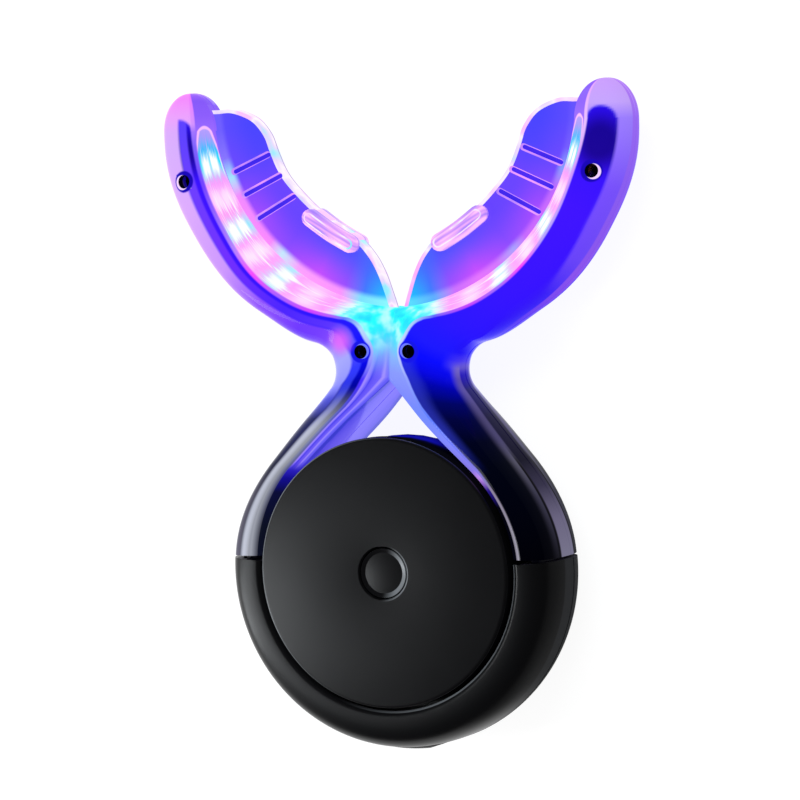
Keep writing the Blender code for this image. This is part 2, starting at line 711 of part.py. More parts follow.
def base_shell(name, finish, side):
    """Front or rear half of the black shell that closes the ring below the seam."""
    skin = [base_ring(math.radians(degrees), 0) for degrees in shell_degrees]
    inside = [base_ring(math.radians(degrees), SHELL_WALL) for degrees in shell_hollow_degrees]
    shell = finished(name, loft(skin), finish)
    carve(shell, loft(inside))
    reach = SHELL_RADIUS + OVERRUN
    low = GAP / 2 if side > 0 else -PUCK_THICKNESS
    high = PUCK_THICKNESS if side > 0 else -GAP / 2
    carve(shell, box((-reach, -reach, low), (reach, SEAM_Y - GAP, high)), "INTERSECT")
    carve(shell, port_opening())
    carve(shell, plug_recess())
    mirror_halves(shell)
    return shell


def port_opening():
    half_width = SOCKET_WIDTH / 2 + GAP
    half_height = SOCKET_HEIGHT / 2 + GAP
    return box(
        (-half_width, -SHELL_RADIUS - OVERRUN, -half_height),
        (half_width, -DRUM_BORE + OVERRUN, half_height),
    )


def plug_recess():
    half_width = PLUG_WIDTH / 2 + GAP
    half_height = PLUG_HEIGHT / 2 + GAP
    return box(
        (-half_width, -SHELL_RADIUS - OVERRUN, -half_height),
        (half_width, -SHELL_RADIUS + PLUG_SEAT + GAP, half_height),
    )


def cover_profile(well, inset=0, edge=PLAIN_EDGE):
    """Cover turned about its axis, with a hole of radius well, or none."""
    radius = COVER_RADIUS - inset
    lip_inner = COVER_LIP_INNER - inset
    lip_outer = COVER_LIP_OUTER - inset
    top = [(radius, HALF - edge), (radius - edge, HALF)]
    under = [
        (lip_inner, COVER_UNDERSIDE), (lip_inner, COVER_LIP_FOOT), (lip_outer, COVER_LIP_FOOT),
        (lip_outer, COVER_RIM_FOOT), (radius, COVER_RIM_FOOT),
    ]
    if well:
        middle = [(well + BUTTON_WELL_EDGE, HALF), (well, HALF - BUTTON_WELL_EDGE), (well, COVER_UNDERSIDE)]
    else:
        middle = [(0, HALF), (0, COVER_UNDERSIDE)]
    return top + middle + under


def front_cover(finish):
    return finished("front_cover", turned(cover_profile(BUTTON_RADIUS + GAP)), finish)


def rear_cover(finish):
    """The narrower rear cover, whose flat face the lamp lies on."""
    bm = turned(cover_profile(0, REAR_INSET, REAR_EDGE))
    bmesh.ops.scale(bm, vec=(1, 1, -1), verts=bm.verts)
    return finished("rear_cover", bm, finish)


def power_button(finish):
    """Dished button with a flange under the cover and a stem over the switch."""
    top = HALF - BUTTON_SINK
    dish = [
        (BUTTON_RADIUS * share, top - BUTTON_DISH * (1 - (share / dish_shares[-1]) ** 2))
        for share in dish_shares
    ]
    profile = dish + [
        (BUTTON_RADIUS - PLAIN_EDGE / 2, top), (BUTTON_RADIUS, top - PLAIN_EDGE / 2),
        (BUTTON_RADIUS, FLANGE_TOP), (BUTTON_FLANGE, FLANGE_TOP), (BUTTON_FLANGE, FLANGE_BOTTOM),
        (BUTTON_STEM, FLANGE_BOTTOM), (BUTTON_STEM, STEM_FOOT), (0, STEM_FOOT),
    ]
    return finished("power_button", turned(profile), finish)


def tact_switch(finish):
    half = SWITCH_SIDE / 2
    switch = finished("tact_switch", box((-half, -half, SWITCH_FOOT), (half, half, SWITCH_TOP)), finish)
    carve(switch, rod(PLUNGER_RADIUS + GAP, SWITCH_TOP - PLUNGER_SEAT - GAP, HALF))
    return switch


def switch_plunger(finish):
    low = SWITCH_TOP - PLUNGER_SEAT + BUTTON_TRAVEL / 2
    return finished("switch_plunger", rod(PLUNGER_RADIUS, low, SWITCH_TOP + PLUNGER_PROUD), finish)


def screw_places():
    return [on_circle(BOARD_SCREW_CIRCLE, math.radians(degrees)) for degrees in board_screw_degrees]


def core_drum(finish):
    """Tube with a floor between board and battery, bosses, and slots for the tails and the port."""
    floor_bottom = FLOOR_TOP - FLOOR_THICKNESS
    rear_radius = DRUM_RADIUS - REAR_INSET
    rear_bore = DRUM_BORE - REAR_INSET
    profile = [
        (0, FLOOR_TOP), (DRUM_BORE, FLOOR_TOP), (DRUM_BORE, DRUM_END), (DRUM_RADIUS, DRUM_END),
        (DRUM_RADIUS, DRUM_TAPER_TOP), (rear_radius, -DRUM_END), (rear_bore, -DRUM_END),
        (rear_bore, floor_bottom), (0, floor_bottom),
    ]
    drum = finished("core_drum", turned(profile), finish)
    for place in screw_places():
        boss = rod(BOSS_RADIUS, floor_bottom + GAP, BOARD_BOTTOM - GAP, place, FINE_ROUND_STEPS)
        carve(drum, boss, "UNION")
        carve(drum, rod(BOARD_SCREW_SHANK + GAP, -HALF, HALF, place, SCREW_ROUND_STEPS))
    carve(drum, tail_slot())
    carve(drum, other_side(tail_slot()))
    carve(drum, port_opening())
    return drum


def main_board(finish):
    disc = rod(BOARD_RADIUS, BOARD_BOTTOM, BOARD_TOP, steps=ROUND_STEPS)
    board = finished("main_board", disc, finish)
    for place in screw_places():
        carve(board, rod(BOARD_SCREW_SHANK + GAP, -HALF, HALF, place, SCREW_ROUND_STEPS))
    return board


def board_screw(number, place, finish):
    under_head = BOARD_TOP + GAP
    profile = [
        (0, under_head - BOARD_SCREW_LENGTH), (BOARD_SCREW_SHANK, under_head - BOARD_SCREW_LENGTH),
        (BOARD_SCREW_SHANK, under_head), (BOARD_SCREW_HEAD, under_head),
        (BOARD_SCREW_HEAD, under_head + BOARD_SCREW_HEAD_HEIGHT), (0, under_head + BOARD_SCREW_HEAD_HEIGHT),
    ]
    return finished(f"board_screw_{number}", turned(profile, SCREW_ROUND_STEPS, place), finish)


def battery(finish):
    high = FLOOR_TOP - FLOOR_THICKNESS - GAP
    low = -COVER_UNDERSIDE + GAP + FOAM_THICKNESS + GAP
    half_x = BATTERY_LENGTH / 2
    half_y = BATTERY_WIDTH / 2
    bm = rounded_box((-half_x, -half_y, low), (half_x, half_y, high), BATTERY_CORNER / 2)
    return finished("battery_cell", bm, finish)


def battery_foam(finish):
    half_x = BATTERY_LENGTH / 2 - BATTERY_CORNER
    half_y = BATTERY_WIDTH / 2 - BATTERY_CORNER
    low = -COVER_UNDERSIDE + GAP
    bm = box((-half_x, -half_y, low), (half_x, half_y, low + FOAM_THICKNESS))
    return finished("battery_foam", bm, finish)


def controller_chip(finish):
    half = CHIP_SIDE / 2
    low = BOARD_TOP + GAP
    bm = box((-half, CHIP_Y - half, low), (half, CHIP_Y + half, low + CHIP_HEIGHT))
    return finished("controller_chip", bm, finish)


def buzzer(finish):
    low = BOARD_TOP + GAP
    can = rod(BUZZER_RADIUS, low, low + BUZZER_HEIGHT, (0, BUZZER_Y))
    return finished("buzzer", can, finish)


def tail_end():
    place, _ = rib_ends(TAIL_STAGE)
    return Vector((TAIL_REACH, place.y))


def flex_connector(finish, side):
    end = tail_end()
    low = BOARD_TOP + GAP
    bm = box(
        (end.x - GAP - CONNECTOR_DEPTH, end.y - CONNECTOR_LENGTH / 2, low),
        (end.x - GAP, end.y + CONNECTOR_LENGTH / 2, low + CONNECTOR_HEIGHT),
    )
    return finished(*named_side("flex_connector", bm, side), finish)


def named_side(name, bm, side):
    """Name and mesh of a right-hand piece, or of its mirror image."""
    if side > 0:
        return name + "_right", bm
    return name + "_left", other_side(bm)


def led_flex(finish, side):
    """Upright ribbon behind the windows whose tail runs down the arm and turns into the drum."""
    path = []
    marks = [mark for mark in stages(TAIL_STAGE, FLEX_END) if not FLEX_BRIDGE_START < mark < FLEX_BRIDGE_END]
    for stage in reversed(marks):
        inner, outer = rib_ends(stage)
        place = inner + (outer - inner).normalized() * flex_depth(stage)
        half = flex_half(stage)
        share = min(max(stage - 1, 0), 1)
        low = TAIL_LOW + (-half - TAIL_LOW) * share
        high = TAIL_HIGH + (half - TAIL_HIGH) * share
        path.append((place, low, high))
    corner = path[-1][0]
    level = tail_end().y
    turn_in = Vector((corner.x - FLEX_THICKNESS, level))
    path[-1] = (Vector((corner.x, level + 2 * FLEX_THICKNESS)), TAIL_LOW, TAIL_HIGH)
    path.append((turn_in, TAIL_LOW, TAIL_HIGH))
    path.append((Vector((tail_end().x, level)), TAIL_LOW, TAIL_HIGH))
    rings = []
    for i, (place, low, high) in enumerate(path):
        before = path[max(i - 1, 0)][0]
        after = path[min(i + 1, len(path) - 1)][0]
        ahead = (after - before).normalized()
        across = Vector((-ahead.y, ahead.x)) * FLEX_THICKNESS / 2
        rings.append([
            (*(place - across), low), (*(place + across), low),
            (*(place + across), high), (*(place - across), high),
        ])
    return finished(*named_side("led_flex", loft(rings), side), finish)


def arm_core(finish, side):
    """Dark core behind the flex strip, which also splices the clear arm to the black shell."""
    bm = loft([core_ring(stage) for stage in stages(CORE_START, CORE_END)])
    core = finished(*named_side("arm_core", bm, side), finish)
    for pin in (WAIST_PIN, WING_PIN):
        carve(core, rod(PIN_HOLE_RADIUS, -HALF, HALF, (pin.x * side, pin.y), FINE_ROUND_STEPS))
    return core


def led(number, stage, row, finish, side):
    """One LED on the window side of the flex strip."""
    depth = flex_depth(stage) / slant(stage) - FLEX_THICKNESS / 2 - GAP - LED_DEPTH / 2
    roof = roof_at(hollow_profile(stage), (depth - LED_DEPTH / 2) * slant(stage))
    level = min(LED_LEVEL, roof - CORE_CLEARANCE - LED_HEIGHT / 2)
    inner, outer = rib_ends(stage)
    place = inner + (outer - inner).normalized() * depth * slant(stage)
    along = (place - WINDOW_CENTRE).normalized()
    bm = bmesh.new()
    bmesh.ops.create_cube(bm, size=1)
    bmesh.ops.scale(bm, vec=(LED_DEPTH, LED_LENGTH, LED_HEIGHT), verts=bm.verts)
    turn = Matrix.Rotation(math.atan2(along.y, along.x), 3, "Z")
    bmesh.ops.rotate(bm, cent=(0, 0, 0), matrix=turn, verts=bm.verts)
    bmesh.ops.translate(bm, vec=(place.x, place.y, level * row), verts=bm.verts)
    row_name = "front" if row > 0 else "rear"
    name, bm = named_side(f"led_{row_name}_{number}", bm, side)
    return finished(name, bm, finish, smooth=False)


def pin_room(pin):
    """Heights of the shell's front and rear inner faces at a pin, from the rib that passes nearest."""
    best = min(stages(2, 4, PIN_SEARCH_FINENESS), key=lambda stage: rib_distance(stage, pin))
    hollow = hollow_profile(best)
    inner, outer = rib_ends(best)
    roof = roof_at(hollow, (pin - inner).dot((outer - inner).normalized()))
    return roof, -roof * hollow["rear_share"]


def rib_distance(stage, place):
    inner, outer = rib_ends(stage)
    along = (outer - inner).normalized()
    offset = place - inner
    return abs(offset.x * along.y - offset.y * along.x)


def locating_pin(place_name, pin, finish, side):
    roof, floor = pin_room(pin)
    bm = rod(PIN_RADIUS, floor + CORE_CLEARANCE, roof - PIN_SINK, pin, FINE_ROUND_STEPS)
    return finished(*named_side(f"locating_pin_{place_name}", bm, side), finish)


def plate_point(share_x, share_y):
    return (PLATE_REACH * share_x, NOTCH_Y + PLATE_LENGTH * share_y)


def mouthpiece(finish):
    """Bite plates with their clamped rim, grooves and pads, cut from one silicone sheet."""
    edge = smooth_through([plate_point(*share) for share in plate_edge_shares])
    edge[0] = (NOTCH_HALF, NOTCH_Y)
    rim_radius = WINDOW_RADIUS + PLATE_GRIP
    start = math.asin(min((edge[-1][1] - WINDOW_CENTRE.y) / rim_radius, 1))
    end = -math.acos((-WINDOW_CENTRE.x - ARM_OVERLAP) / rim_radius)
    outline = [(-ARM_OVERLAP, NOTCH_Y)] + edge
    for i in range(RIM_STEPS + 1):
        outline.append(tuple(on_circle(rim_radius, start + (end - start) * i / RIM_STEPS, WINDOW_CENTRE)))
    plate = finished("mouthpiece", extruded(outline, -PLATE_HALF, PLATE_HALF), finish)
    carve(plate, pad_block(), "UNION")
    for level in (-1, 1):
        for near, far in groove_shares:
            carve(plate, groove(plate_point(*near), plate_point(*far), level))
    mirror_halves(plate)
    return plate


def pad_block():
    """Raised rest along the inner edge of the plate, front and rear."""
    path = smooth_through([plate_point(*share) for share in pad_shares])
    points = [Vector(point) for point in path]
    outer = []
    inner = []
    for i, point in enumerate(points):
        ahead = (points[min(i + 1, len(points) - 1)] - points[max(i - 1, 0)]).normalized()
        across = Vector((-ahead.y, ahead.x)) * PAD_WIDTH / 2
        outer.append(point - across)
        inner.append(point + across)
    cap_end = cap(points[-1], outer[-1])
    cap_start = cap(points[0], inner[0])
    outline = outer + cap_end + inner[::-1] + cap_start
    bm = extruded([(p.x, p.y) for p in outline], -PLATE_HALF - PAD_HEIGHT, PLATE_HALF + PAD_HEIGHT)
    flat = [edge for edge in bm.edges if abs(edge.verts[0].co.z - edge.verts[1].co.z) < WELD]
    bmesh.ops.bevel(
        bm, geom=flat, offset=PAD_HEIGHT / 2, affect="EDGES", segments=2, profile=0.5, material=-1
    )
    return bm


def cap(centre, start):
    """Points inside the half circle that turns counter-clockwise from start about centre."""
    first = math.atan2(start.y - centre.y, start.x - centre.x)
    radius = (start - centre).length
    return [on_circle(radius, first + math.pi * i / CAP_STEPS, centre) for i in range(1, CAP_STEPS)]


def groove(near, far, level):
    """Round-ended bar that cuts one groove into the front or rear face of a plate."""
    near = Vector(near)
    far = Vector(far)
    ahead = (far - near).normalized()
    across = Vector((-ahead.y, ahead.x)) * GROOVE_WIDTH / 2
    open_end = near - ahead * OVERRUN
    outline = [open_end - across, far - across] + cap(far, far - across)
    outline += [far + across, open_end + across]
    low = PLATE_HALF - GROOVE_DEPTH
    high = PLATE_HALF + OVERRUN
    if level < 0:
        low, high = -high, -low
    return extruded([(p.x, p.y) for p in outline], low, high)


def charge_socket(finish):
    """Hollow metal receptacle that faces out of the bottom of the puck."""
    mouth = -SHELL_RADIUS + SOCKET_SINK
    half_width = SOCKET_WIDTH / 2
    half_height = SOCKET_HEIGHT / 2
    bm = box((-half_width, mouth, -half_height), (half_width, mouth + SOCKET_DEPTH, half_height))
    socket = finished("charge_socket", bm, finish)
    bore_width = half_width - SOCKET_WALL
    bore_height = half_height - SOCKET_WALL
    inside = mouth + SOCKET_MOUTH_DEPTH
    carve(socket, box((-bore_width, mouth - OVERRUN, -bore_height), (bore_width, inside, bore_height)))
    return socket


def port_plug(finish):
    """Rubber plug with a tongue in the socket's mouth."""
    outside = -SHELL_RADIUS - PLUG_PROUD
    inside = -SHELL_RADIUS + PLUG_SEAT
    half_width = PLUG_WIDTH / 2
    half_height = PLUG_HEIGHT / 2
    bm = rounded_box((-half_width, outside, -half_height), (half_width, inside, half_height), PLAIN_EDGE)
    plug = finished("port_plug", bm, finish)
    tongue_width = SOCKET_WIDTH / 2 - SOCKET_WALL - PLUG_TONGUE_CLEARANCE
    tongue_height = SOCKET_HEIGHT / 2 - SOCKET_WALL - PLUG_TONGUE_CLEARANCE
    middle = (outside + inside) / 2
    tip = inside + PLUG_TONGUE_DEPTH
    carve(plug, box((-tongue_width, middle, -tongue_height), (tongue_width, tip, tongue_height)), "UNION")
    return plug


def build():
    clear_scene()
    black = material("matte_black_plastic", 0.012, 0.012, 0.014, 0.5)
    dark = material("dark_core_plastic", 0.01, 0.01, 0.06, 0.45)
    clear = material("clear_blue_lit_plastic", 0.1, 0.05, 0.95, 0.12, transmission=0.6)
    silicone = material("clear_silicone", 0.25, 0.15, 0.95, 0.3, transmission=0.5)
    green = material("board_green", 0.01, 0.12, 0.04, 0.5)
    amber = material("flex_amber", 0.5, 0.2, 0.03, 0.45)
    steel = material("bright_steel", 0.6, 0.6, 0.62, 0.3, metallic=1.0)
    foil = material("battery_foil", 0.5, 0.5, 0.53, 0.4, metallic=0.6)
    foam = material("black_foam", 0.02, 0.02, 0.02, 0.9)
    rubber = material("black_rubber", 0.015, 0.015, 0.016, 0.7)
    blue_led = material("blue_led", 0.05, 0.35, 1.0, 0.3)
    red_led = material("red_led", 1.0, 0.08, 0.12, 0.3)

    front_cover(black)
    rear_cover(black)
    power_button(black)
    tact_switch(black)
    switch_plunger(rubber)
    core_drum(black)
    main_board(green)
    for number, place in enumerate(screw_places(), 1):
        board_screw(number, place, steel)
    battery(foil)
    battery_foam(foam)
    controller_chip(black)
    buzzer(black)
    base_shell("base_shell_front", black, 1)
    base_shell("base_shell_rear", black, -1)
    charge_socket(steel)
    port_plug(rubber)
    clear_shell("clear_shell_front", clear, 1)
    clear_shell("clear_shell_rear", clear, -1)
    mouthpiece(silicone)
    for side in (1, -1):
        arm_core(dark, side)
        led_flex(amber, side)
        flex_connector(black, side)
        locating_pin("waist", WAIST_PIN, steel, side)
        locating_pin("wing", WING_PIN, steel, side)
        for number, stage in enumerate(led_stages, 1):
            colour = blue_led if number % 2 == 1 else red_led
            for row in (1, -1):
                led(number, stage, row, colour, side)


build()
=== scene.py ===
"""Looks of a teeth whitening lamp: a lit, winged mouth tray on clear arms round a flat puck.

Each operator dresses one piece, or one group of like pieces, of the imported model. The lamp
lies on its rear cover: +Z is the puck's axis and +Y runs from the puck to the tray.
"""

import math

import bmesh
import bpy
import numpy as np
from bpy.props import FloatProperty, FloatVectorProperty, PointerProperty
from mathutils import Matrix, Vector


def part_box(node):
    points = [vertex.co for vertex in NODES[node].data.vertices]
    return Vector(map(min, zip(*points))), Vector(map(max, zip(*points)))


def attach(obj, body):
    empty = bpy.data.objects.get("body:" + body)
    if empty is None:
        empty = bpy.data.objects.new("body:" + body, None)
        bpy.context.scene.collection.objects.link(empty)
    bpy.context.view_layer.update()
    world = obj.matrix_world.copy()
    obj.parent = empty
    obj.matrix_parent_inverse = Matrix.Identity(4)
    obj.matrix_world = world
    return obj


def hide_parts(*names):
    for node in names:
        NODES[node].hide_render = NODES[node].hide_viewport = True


bl_info = {
    "name": "Teeth whitening lamp",
    "version": (1, 0, 0),
    "blender": (4, 5, 0),
    "location": "3D View > Sidebar > Lamp",
    "description": "Dresses the packed teeth whitening lamp with its finished pieces",
    "category": "Object",
}

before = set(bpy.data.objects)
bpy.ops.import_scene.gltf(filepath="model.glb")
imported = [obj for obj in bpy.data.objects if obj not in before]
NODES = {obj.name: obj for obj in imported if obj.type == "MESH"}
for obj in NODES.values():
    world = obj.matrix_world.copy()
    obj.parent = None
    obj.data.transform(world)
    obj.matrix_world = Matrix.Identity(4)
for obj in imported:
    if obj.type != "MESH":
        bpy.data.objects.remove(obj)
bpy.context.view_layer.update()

MM = 0.001
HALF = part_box("front_cover")[1].z / 2
BODY = "lamp"

# Puck, as the solids have it
COVER_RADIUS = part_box("front_cover")[1].x
REAR_COVER_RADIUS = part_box("rear_cover")[1].x
DRUM_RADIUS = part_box("core_drum")[1].x
SHELL_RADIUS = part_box("base_shell_front")[1].x
SHELL_BORE = DRUM_RADIUS + 0.7 * MM
SHELL_WALL = 1.1 * MM
SHELL_RIM = HALF * 0.925
SHELL_BAND = 0.5 * MM
SHELL_EDGE = 0.3 * MM
LEDGE_RADIUS = DRUM_RADIUS + 0.06 * MM
LEDGE_LOW = 2.6 * MM
LEDGE_TOP = 3.4 * MM
SHELL_SQUARENESS = 3.6
SHELL_REAR_SQUARENESS = 1.8
SHELL_REAR_SHARE = 0.85
COVER_PLATE = 1.6 * MM
COVER_RIM_DEPTH = 2.4 * MM
COVER_LIP_DEPTH = 1.6 * MM
COVER_LIP_WALL = 1.3 * MM
DRUM_WALL = 1.3 * MM
GAP = 0.3 * MM
SEAM_Y = 1.9 * MM
OVERRUN = 2 * MM

# Charging port, and the plug's seat, tongue and lip in it
PORT_HALF_WIDTH = 3.75 * MM
PORT_HALF_HEIGHT = 1.35 * MM
PLUG_SEAT = 0.7 * MM
PLUG_CROWN = 0.3 * MM
TONGUE_HALF_WIDTH = 3.1 * MM
TONGUE_HALF_HEIGHT = 0.7 * MM
TONGUE_EDGE = 0.12 * MM

# Well of the front cover and the button in it
WELL_RADIUS = 3.55 * MM
WELL_THROAT = 3.35 * MM
WELL_DEPTH = 0.32 * MM
WELL_EDGE = 0.12 * MM
BUTTON_RADIUS = 3.2 * MM
BUTTON_FACE = 2.64 * MM
BUTTON_EDGE = 0.12 * MM
BUTTON_DIP = 0.24 * MM
BUTTON_CROWN = 0.1 * MM
BUTTON_FLANGE = 0.5 * MM
BUTTON_STEM = 1.3 * MM

# Arms and wings, as the solids have them
ARM_RADIUS = SHELL_RADIUS - 0.25 * MM
ARM_TAPER = 0.8 * MM
SHOULDER_ANGLE = math.radians(47)
WAIST_HALF = 8.8 * MM
WAIST_FILLET = 3.8 * MM
WAIST_RISE = 2.55 * MM
ARM_OVERLAP = 0.6 * MM
WING_CENTRE_X = 4.3 * MM
WING_RADIUS = 29.2 * MM
WING_END_ANGLE = math.radians(-0.5)
WINDOW_OFFSET = Vector((-5.55 * MM, 3.51 * MM))
WINDOW_RADIUS = WING_RADIUS - 2.0 * MM
WINDOW_HEEL_ANGLE = math.radians(-75)
WINDOW_END_ANGLE = math.radians(-7.8)
WING_LAG = 1.25
WING_TRIM = 0.8 * MM
TIP_LENGTH = 5.1 * MM
TIP_FALL = 0.6
WINDOW_BAND = 2.7 * MM
LIGHT_BAY = 4.1 * MM
PLATE_HALF = 0.9 * MM
PLATE_GRIP = 1.3 * MM
PLATE_INSET = 0.4 * MM
PLATE_END_INSET = 0.7 * MM
NOTCH_SINK = 0.16 * MM
TIP_CORE_LENGTH = 1.7 * MM
TIP_CORE_FADE = (0.86, 1.1)
CORE_CLEARANCE = 0.25 * MM
CORE_START = 0.05 * MM
INSERT_START = 0.3 * MM
INSERT_FULL = 0.1 * MM
PARTING = GAP / 2
LIP_FOOT = PLATE_HALF + GAP
LIP_TOP = LIP_FOOT + 0.4 * MM
PIN_HOLE = 0.85 * MM
WAIST_PIN_X = 3.4 * MM
WAIST_PIN_RISE = 2.8 * MM
WING_PIN_INSET = 3.6 * MM
WING_PIN_ANGLE = math.radians(-15.2)

# Shapes along an arm: 0 seam, 1 shoulder, 2 crotch, 3 heel of the wing, 4 end of the window
rim_shares = (
    (-1, 0.925), (0, 0.925), (1, 0.985), (1.5, 0.93), (2, 0.71), (2.5, 0.67), (3, 0.65), (3.2, 0.68),
    (3.4, 0.66), (3.6, 0.56), (3.8, 0.53), (4, 0.41),
)
band_shares = (
    (-1, 0.3), (0, 0.38), (1, 0.53), (1.5, 0.8), (2, 1.05), (2.27, 1.05), (2.5, 1.3), (2.75, 1.1),
    (3, 0.95), (3.2, 1.07), (3.4, 1.1), (3.6, 0.96), (3.8, 0.86), (4, 0.87),
)
foot_shares = (
    (-1, 0.9), (0, 0.86), (1, 0.8), (1.5, 0.8), (2, 0.58), (2.3, 0.45), (2.6, 0.02), (3, 0.0), (4, 0.0),
)
crest_shares = ((-1, 0.02), (0, 0.02), (1, 0.03), (2, 0.05), (3, 0.1), (3.6, 0.17), (4, 0.14))
squareness = ((-1, 3.6), (0, 3.6), (1, 2.9), (2, 2.6), (3, 2.35), (4, 2.3))
rear_squareness = ((-1, 1.8), (0, 1.8), (1, 1.8), (1.5, 1.8), (2, 1.95), (3, 2.25), (4, 2.3))
rear_shares = ((-1, 0.85), (0, 0.85), (1, 0.92), (1.5, 1.0), (2, 1.0), (3, 1.0), (4, 1.0))
core_depth_shares = (
    (-1, 0.54), (0, 0.54), (0.5, 0.56), (1, 0.6), (1.5, 0.79), (1.83, 0.93), (2, 0.83), (2.2, 0.73),
    (2.35, 0.86), (2.5, 1.4), (2.6, 1.54), (2.75, 1.58), (2.9, 1.43), (3, 1.27), (3.1, 1.13), (3.2, 1.07),
    (3.4, 1.03), (4, 1.03),
)
tip_degrees = (1, *range(3, 87, 3), 88)

# Mouthpiece
plate_edge_shares = (
    (0.028, 0.0), (0.05, 0.07), (0.09, 0.18), (0.145, 0.275), (0.235, 0.365), (0.41, 0.475),
    (0.542, 0.6), (0.607, 0.685), (0.65, 0.78), (0.685, 0.87), (0.755, 0.95), (0.865, 0.995),
    (0.945, 0.995),
)
groove_shares = (
    ((0.66, 0.777), (0.885, 0.682)),
    ((0.6, 0.672), (0.832, 0.566)),
    ((0.53, 0.57), (0.762, 0.447)),
)
pad_shares = ((0.24, 0.32), (0.345, 0.38), (0.447, 0.452))
PAD_TURN = math.radians(32)
PAD_EDGE = 0.45 * MM
PAD_RIM = 0.2 * MM
PAD_DISH = 0.1 * MM
NOTCH_HALF = 0.75 * MM
PLATE_BORDER = 0.5 * MM
GROOVE_NEAR = 0.65 * MM
GROOVE_FAR = 0.45 * MM
GROOVE_SLOPE = 0.18 * MM
RIM_STEPS = 60
RIM_REACH = 0.7 * MM
PLATE_GAP = 0.2 * MM
TINY = 0.01 * MM

# What the paint follows on the arms. "along" is the stage over ALONG_SPAN. "skin" is WALL_FOOT where
# the upright wall under the window ends, 0 at the window's foot, 1 at the ridge, 2 at the parting line,
# and INSIDE more on the inner side of a wall. "insert" is 1 where the dark core stands behind the wall.
ALONG_SPAN = 5
INSIDE = 3
WALL_FOOT = -0.35
# Least degrees of an edge that stays sharp, and stages from one ring of a sweep to the next
SHARP = 32
SHARP_CLEAR = 40
SHARP_CORE = 50
SHELL_STEP = 0.022
CORE_STEP = 0.03
# Stages that the core reaches over, and stages over which a clear band opens outside it
CORE_REACH = (-0.3, 3.97)
CLEAR_STAGES = (3.2, 3.7)


def linear(text):
    """A colour written in sRGB hex, as the linear values that shaders take."""
    parts = [int(text[i:i + 2], 16) / 255 for i in (1, 3, 5)]
    return tuple(c / 12.92 if c <= 0.04045 else ((c + 0.055) / 1.055) ** 2.4 for c in parts)


def eased(place, stations):
    """Read a smooth curve through (place, value) stations."""
    places = np.array([station[0] for station in stations], dtype=float)
    values = np.array([station[1] for station in stations], dtype=float)
    slopes = np.gradient(values, places)
    i = int(np.clip(np.searchsorted(places, place) - 1, 0, len(places) - 2))
    span = places[i + 1] - places[i]
    t = min(max((place - places[i]) / span, 0), 1)
    start = (2 * t**3 - 3 * t**2 + 1) * values[i] + (t**3 - 2 * t**2 + t) * span * slopes[i]
    end = (3 * t**2 - 2 * t**3) * values[i + 1] + (t**3 - t**2) * span * slopes[i + 1]
    return float(start + end)


def on_circle(radius, angle, centre=Vector((0, 0))):
    """Point of a circle in plan."""
    return centre + Vector((radius * math.cos(angle), radius * math.sin(angle)))


def between(start, end, share):
    """A number or a place on the way from start to end."""
    return start + (end - start) * share


def smoothstep(low, high, value):
    """0 at low, 1 at high and eased between them."""
    t = min(max((value - low) / (high - low), 0), 1)
    return t * t * (3 - 2 * t)


# The waist fillet touches the wing's outer arc and the straight outer side of the arm.
ARM_LINE_RADIUS = ARM_RADIUS - ARM_TAPER
WAIST_CENTRE = Vector((WAIST_HALF + WAIST_FILLET, ARM_RADIUS + WAIST_RISE))
WING_REACH = math.sqrt((WING_RADIUS + WAIST_FILLET) ** 2 - (WAIST_CENTRE.x - WING_CENTRE_X) ** 2)
WING_CENTRE = Vector((WING_CENTRE_X, WAIST_CENTRE.y + WING_REACH))
WINDOW_CENTRE = WING_CENTRE + WINDOW_OFFSET
NOTCH_Y = WINDOW_CENTRE.y - WINDOW_RADIUS - NOTCH_SINK
PLATE_REACH = WINDOW_RADIUS - PLATE_INSET
PLATE_LENGTH = WINDOW_RADIUS - PLATE_END_INSET
WAIST_PIN = Vector((WAIST_PIN_X, WAIST_CENTRE.y + WAIST_PIN_RISE))
WING_PIN = on_circle(WING_RADIUS - WING_PIN_INSET, WING_PIN_ANGLE, WING_CENTRE)
WAIST_TOUCH = (WING_CENTRE - WAIST_CENTRE).normalized()
WAIST_END_ANGLE = math.atan2(WAIST_TOUCH.y, WAIST_TOUCH.x)
WING_START_ANGLE = WAIST_END_ANGLE - math.pi
ARM_LINE_ANGLE = math.atan2(WAIST_CENTRE.y, WAIST_CENTRE.x) - math.acos(
    (ARM_LINE_RADIUS + WAIST_FILLET) / WAIST_CENTRE.length
)
WINDOW_START_ANGLE = -math.acos((-WINDOW_CENTRE.x - ARM_OVERLAP) / WINDOW_RADIUS)
SEAM_INNER_ANGLE = math.asin(SEAM_Y / SHELL_BORE)
SEAM_OUTER_ANGLE = math.asin(SEAM_Y / ARM_RADIUS)
SHOULDER = on_circle(SHELL_BORE, SHOULDER_ANGLE)
CROTCH_Y = (SHELL_BORE + ARM_OVERLAP * math.cos(SHOULDER_ANGLE)) / math.sin(SHOULDER_ANGLE)
CROTCH = Vector((-ARM_OVERLAP, CROTCH_Y))
WINDOW_START = on_circle(WINDOW_RADIUS, WINDOW_START_ANGLE, WINDOW_CENTRE)
VALLEY_LENGTH = (WINDOW_START - CROTCH).length
HEEL_SHARE = VALLEY_LENGTH / (VALLEY_LENGTH + WINDOW_RADIUS * (WINDOW_HEEL_ANGLE - WINDOW_START_ANGLE))
SLOT_STAGE = 2 + HEEL_SHARE * 0.8


def window_point(angle):
    """Point of the window's arc."""
    return on_circle(WINDOW_RADIUS, angle, WINDOW_CENTRE)


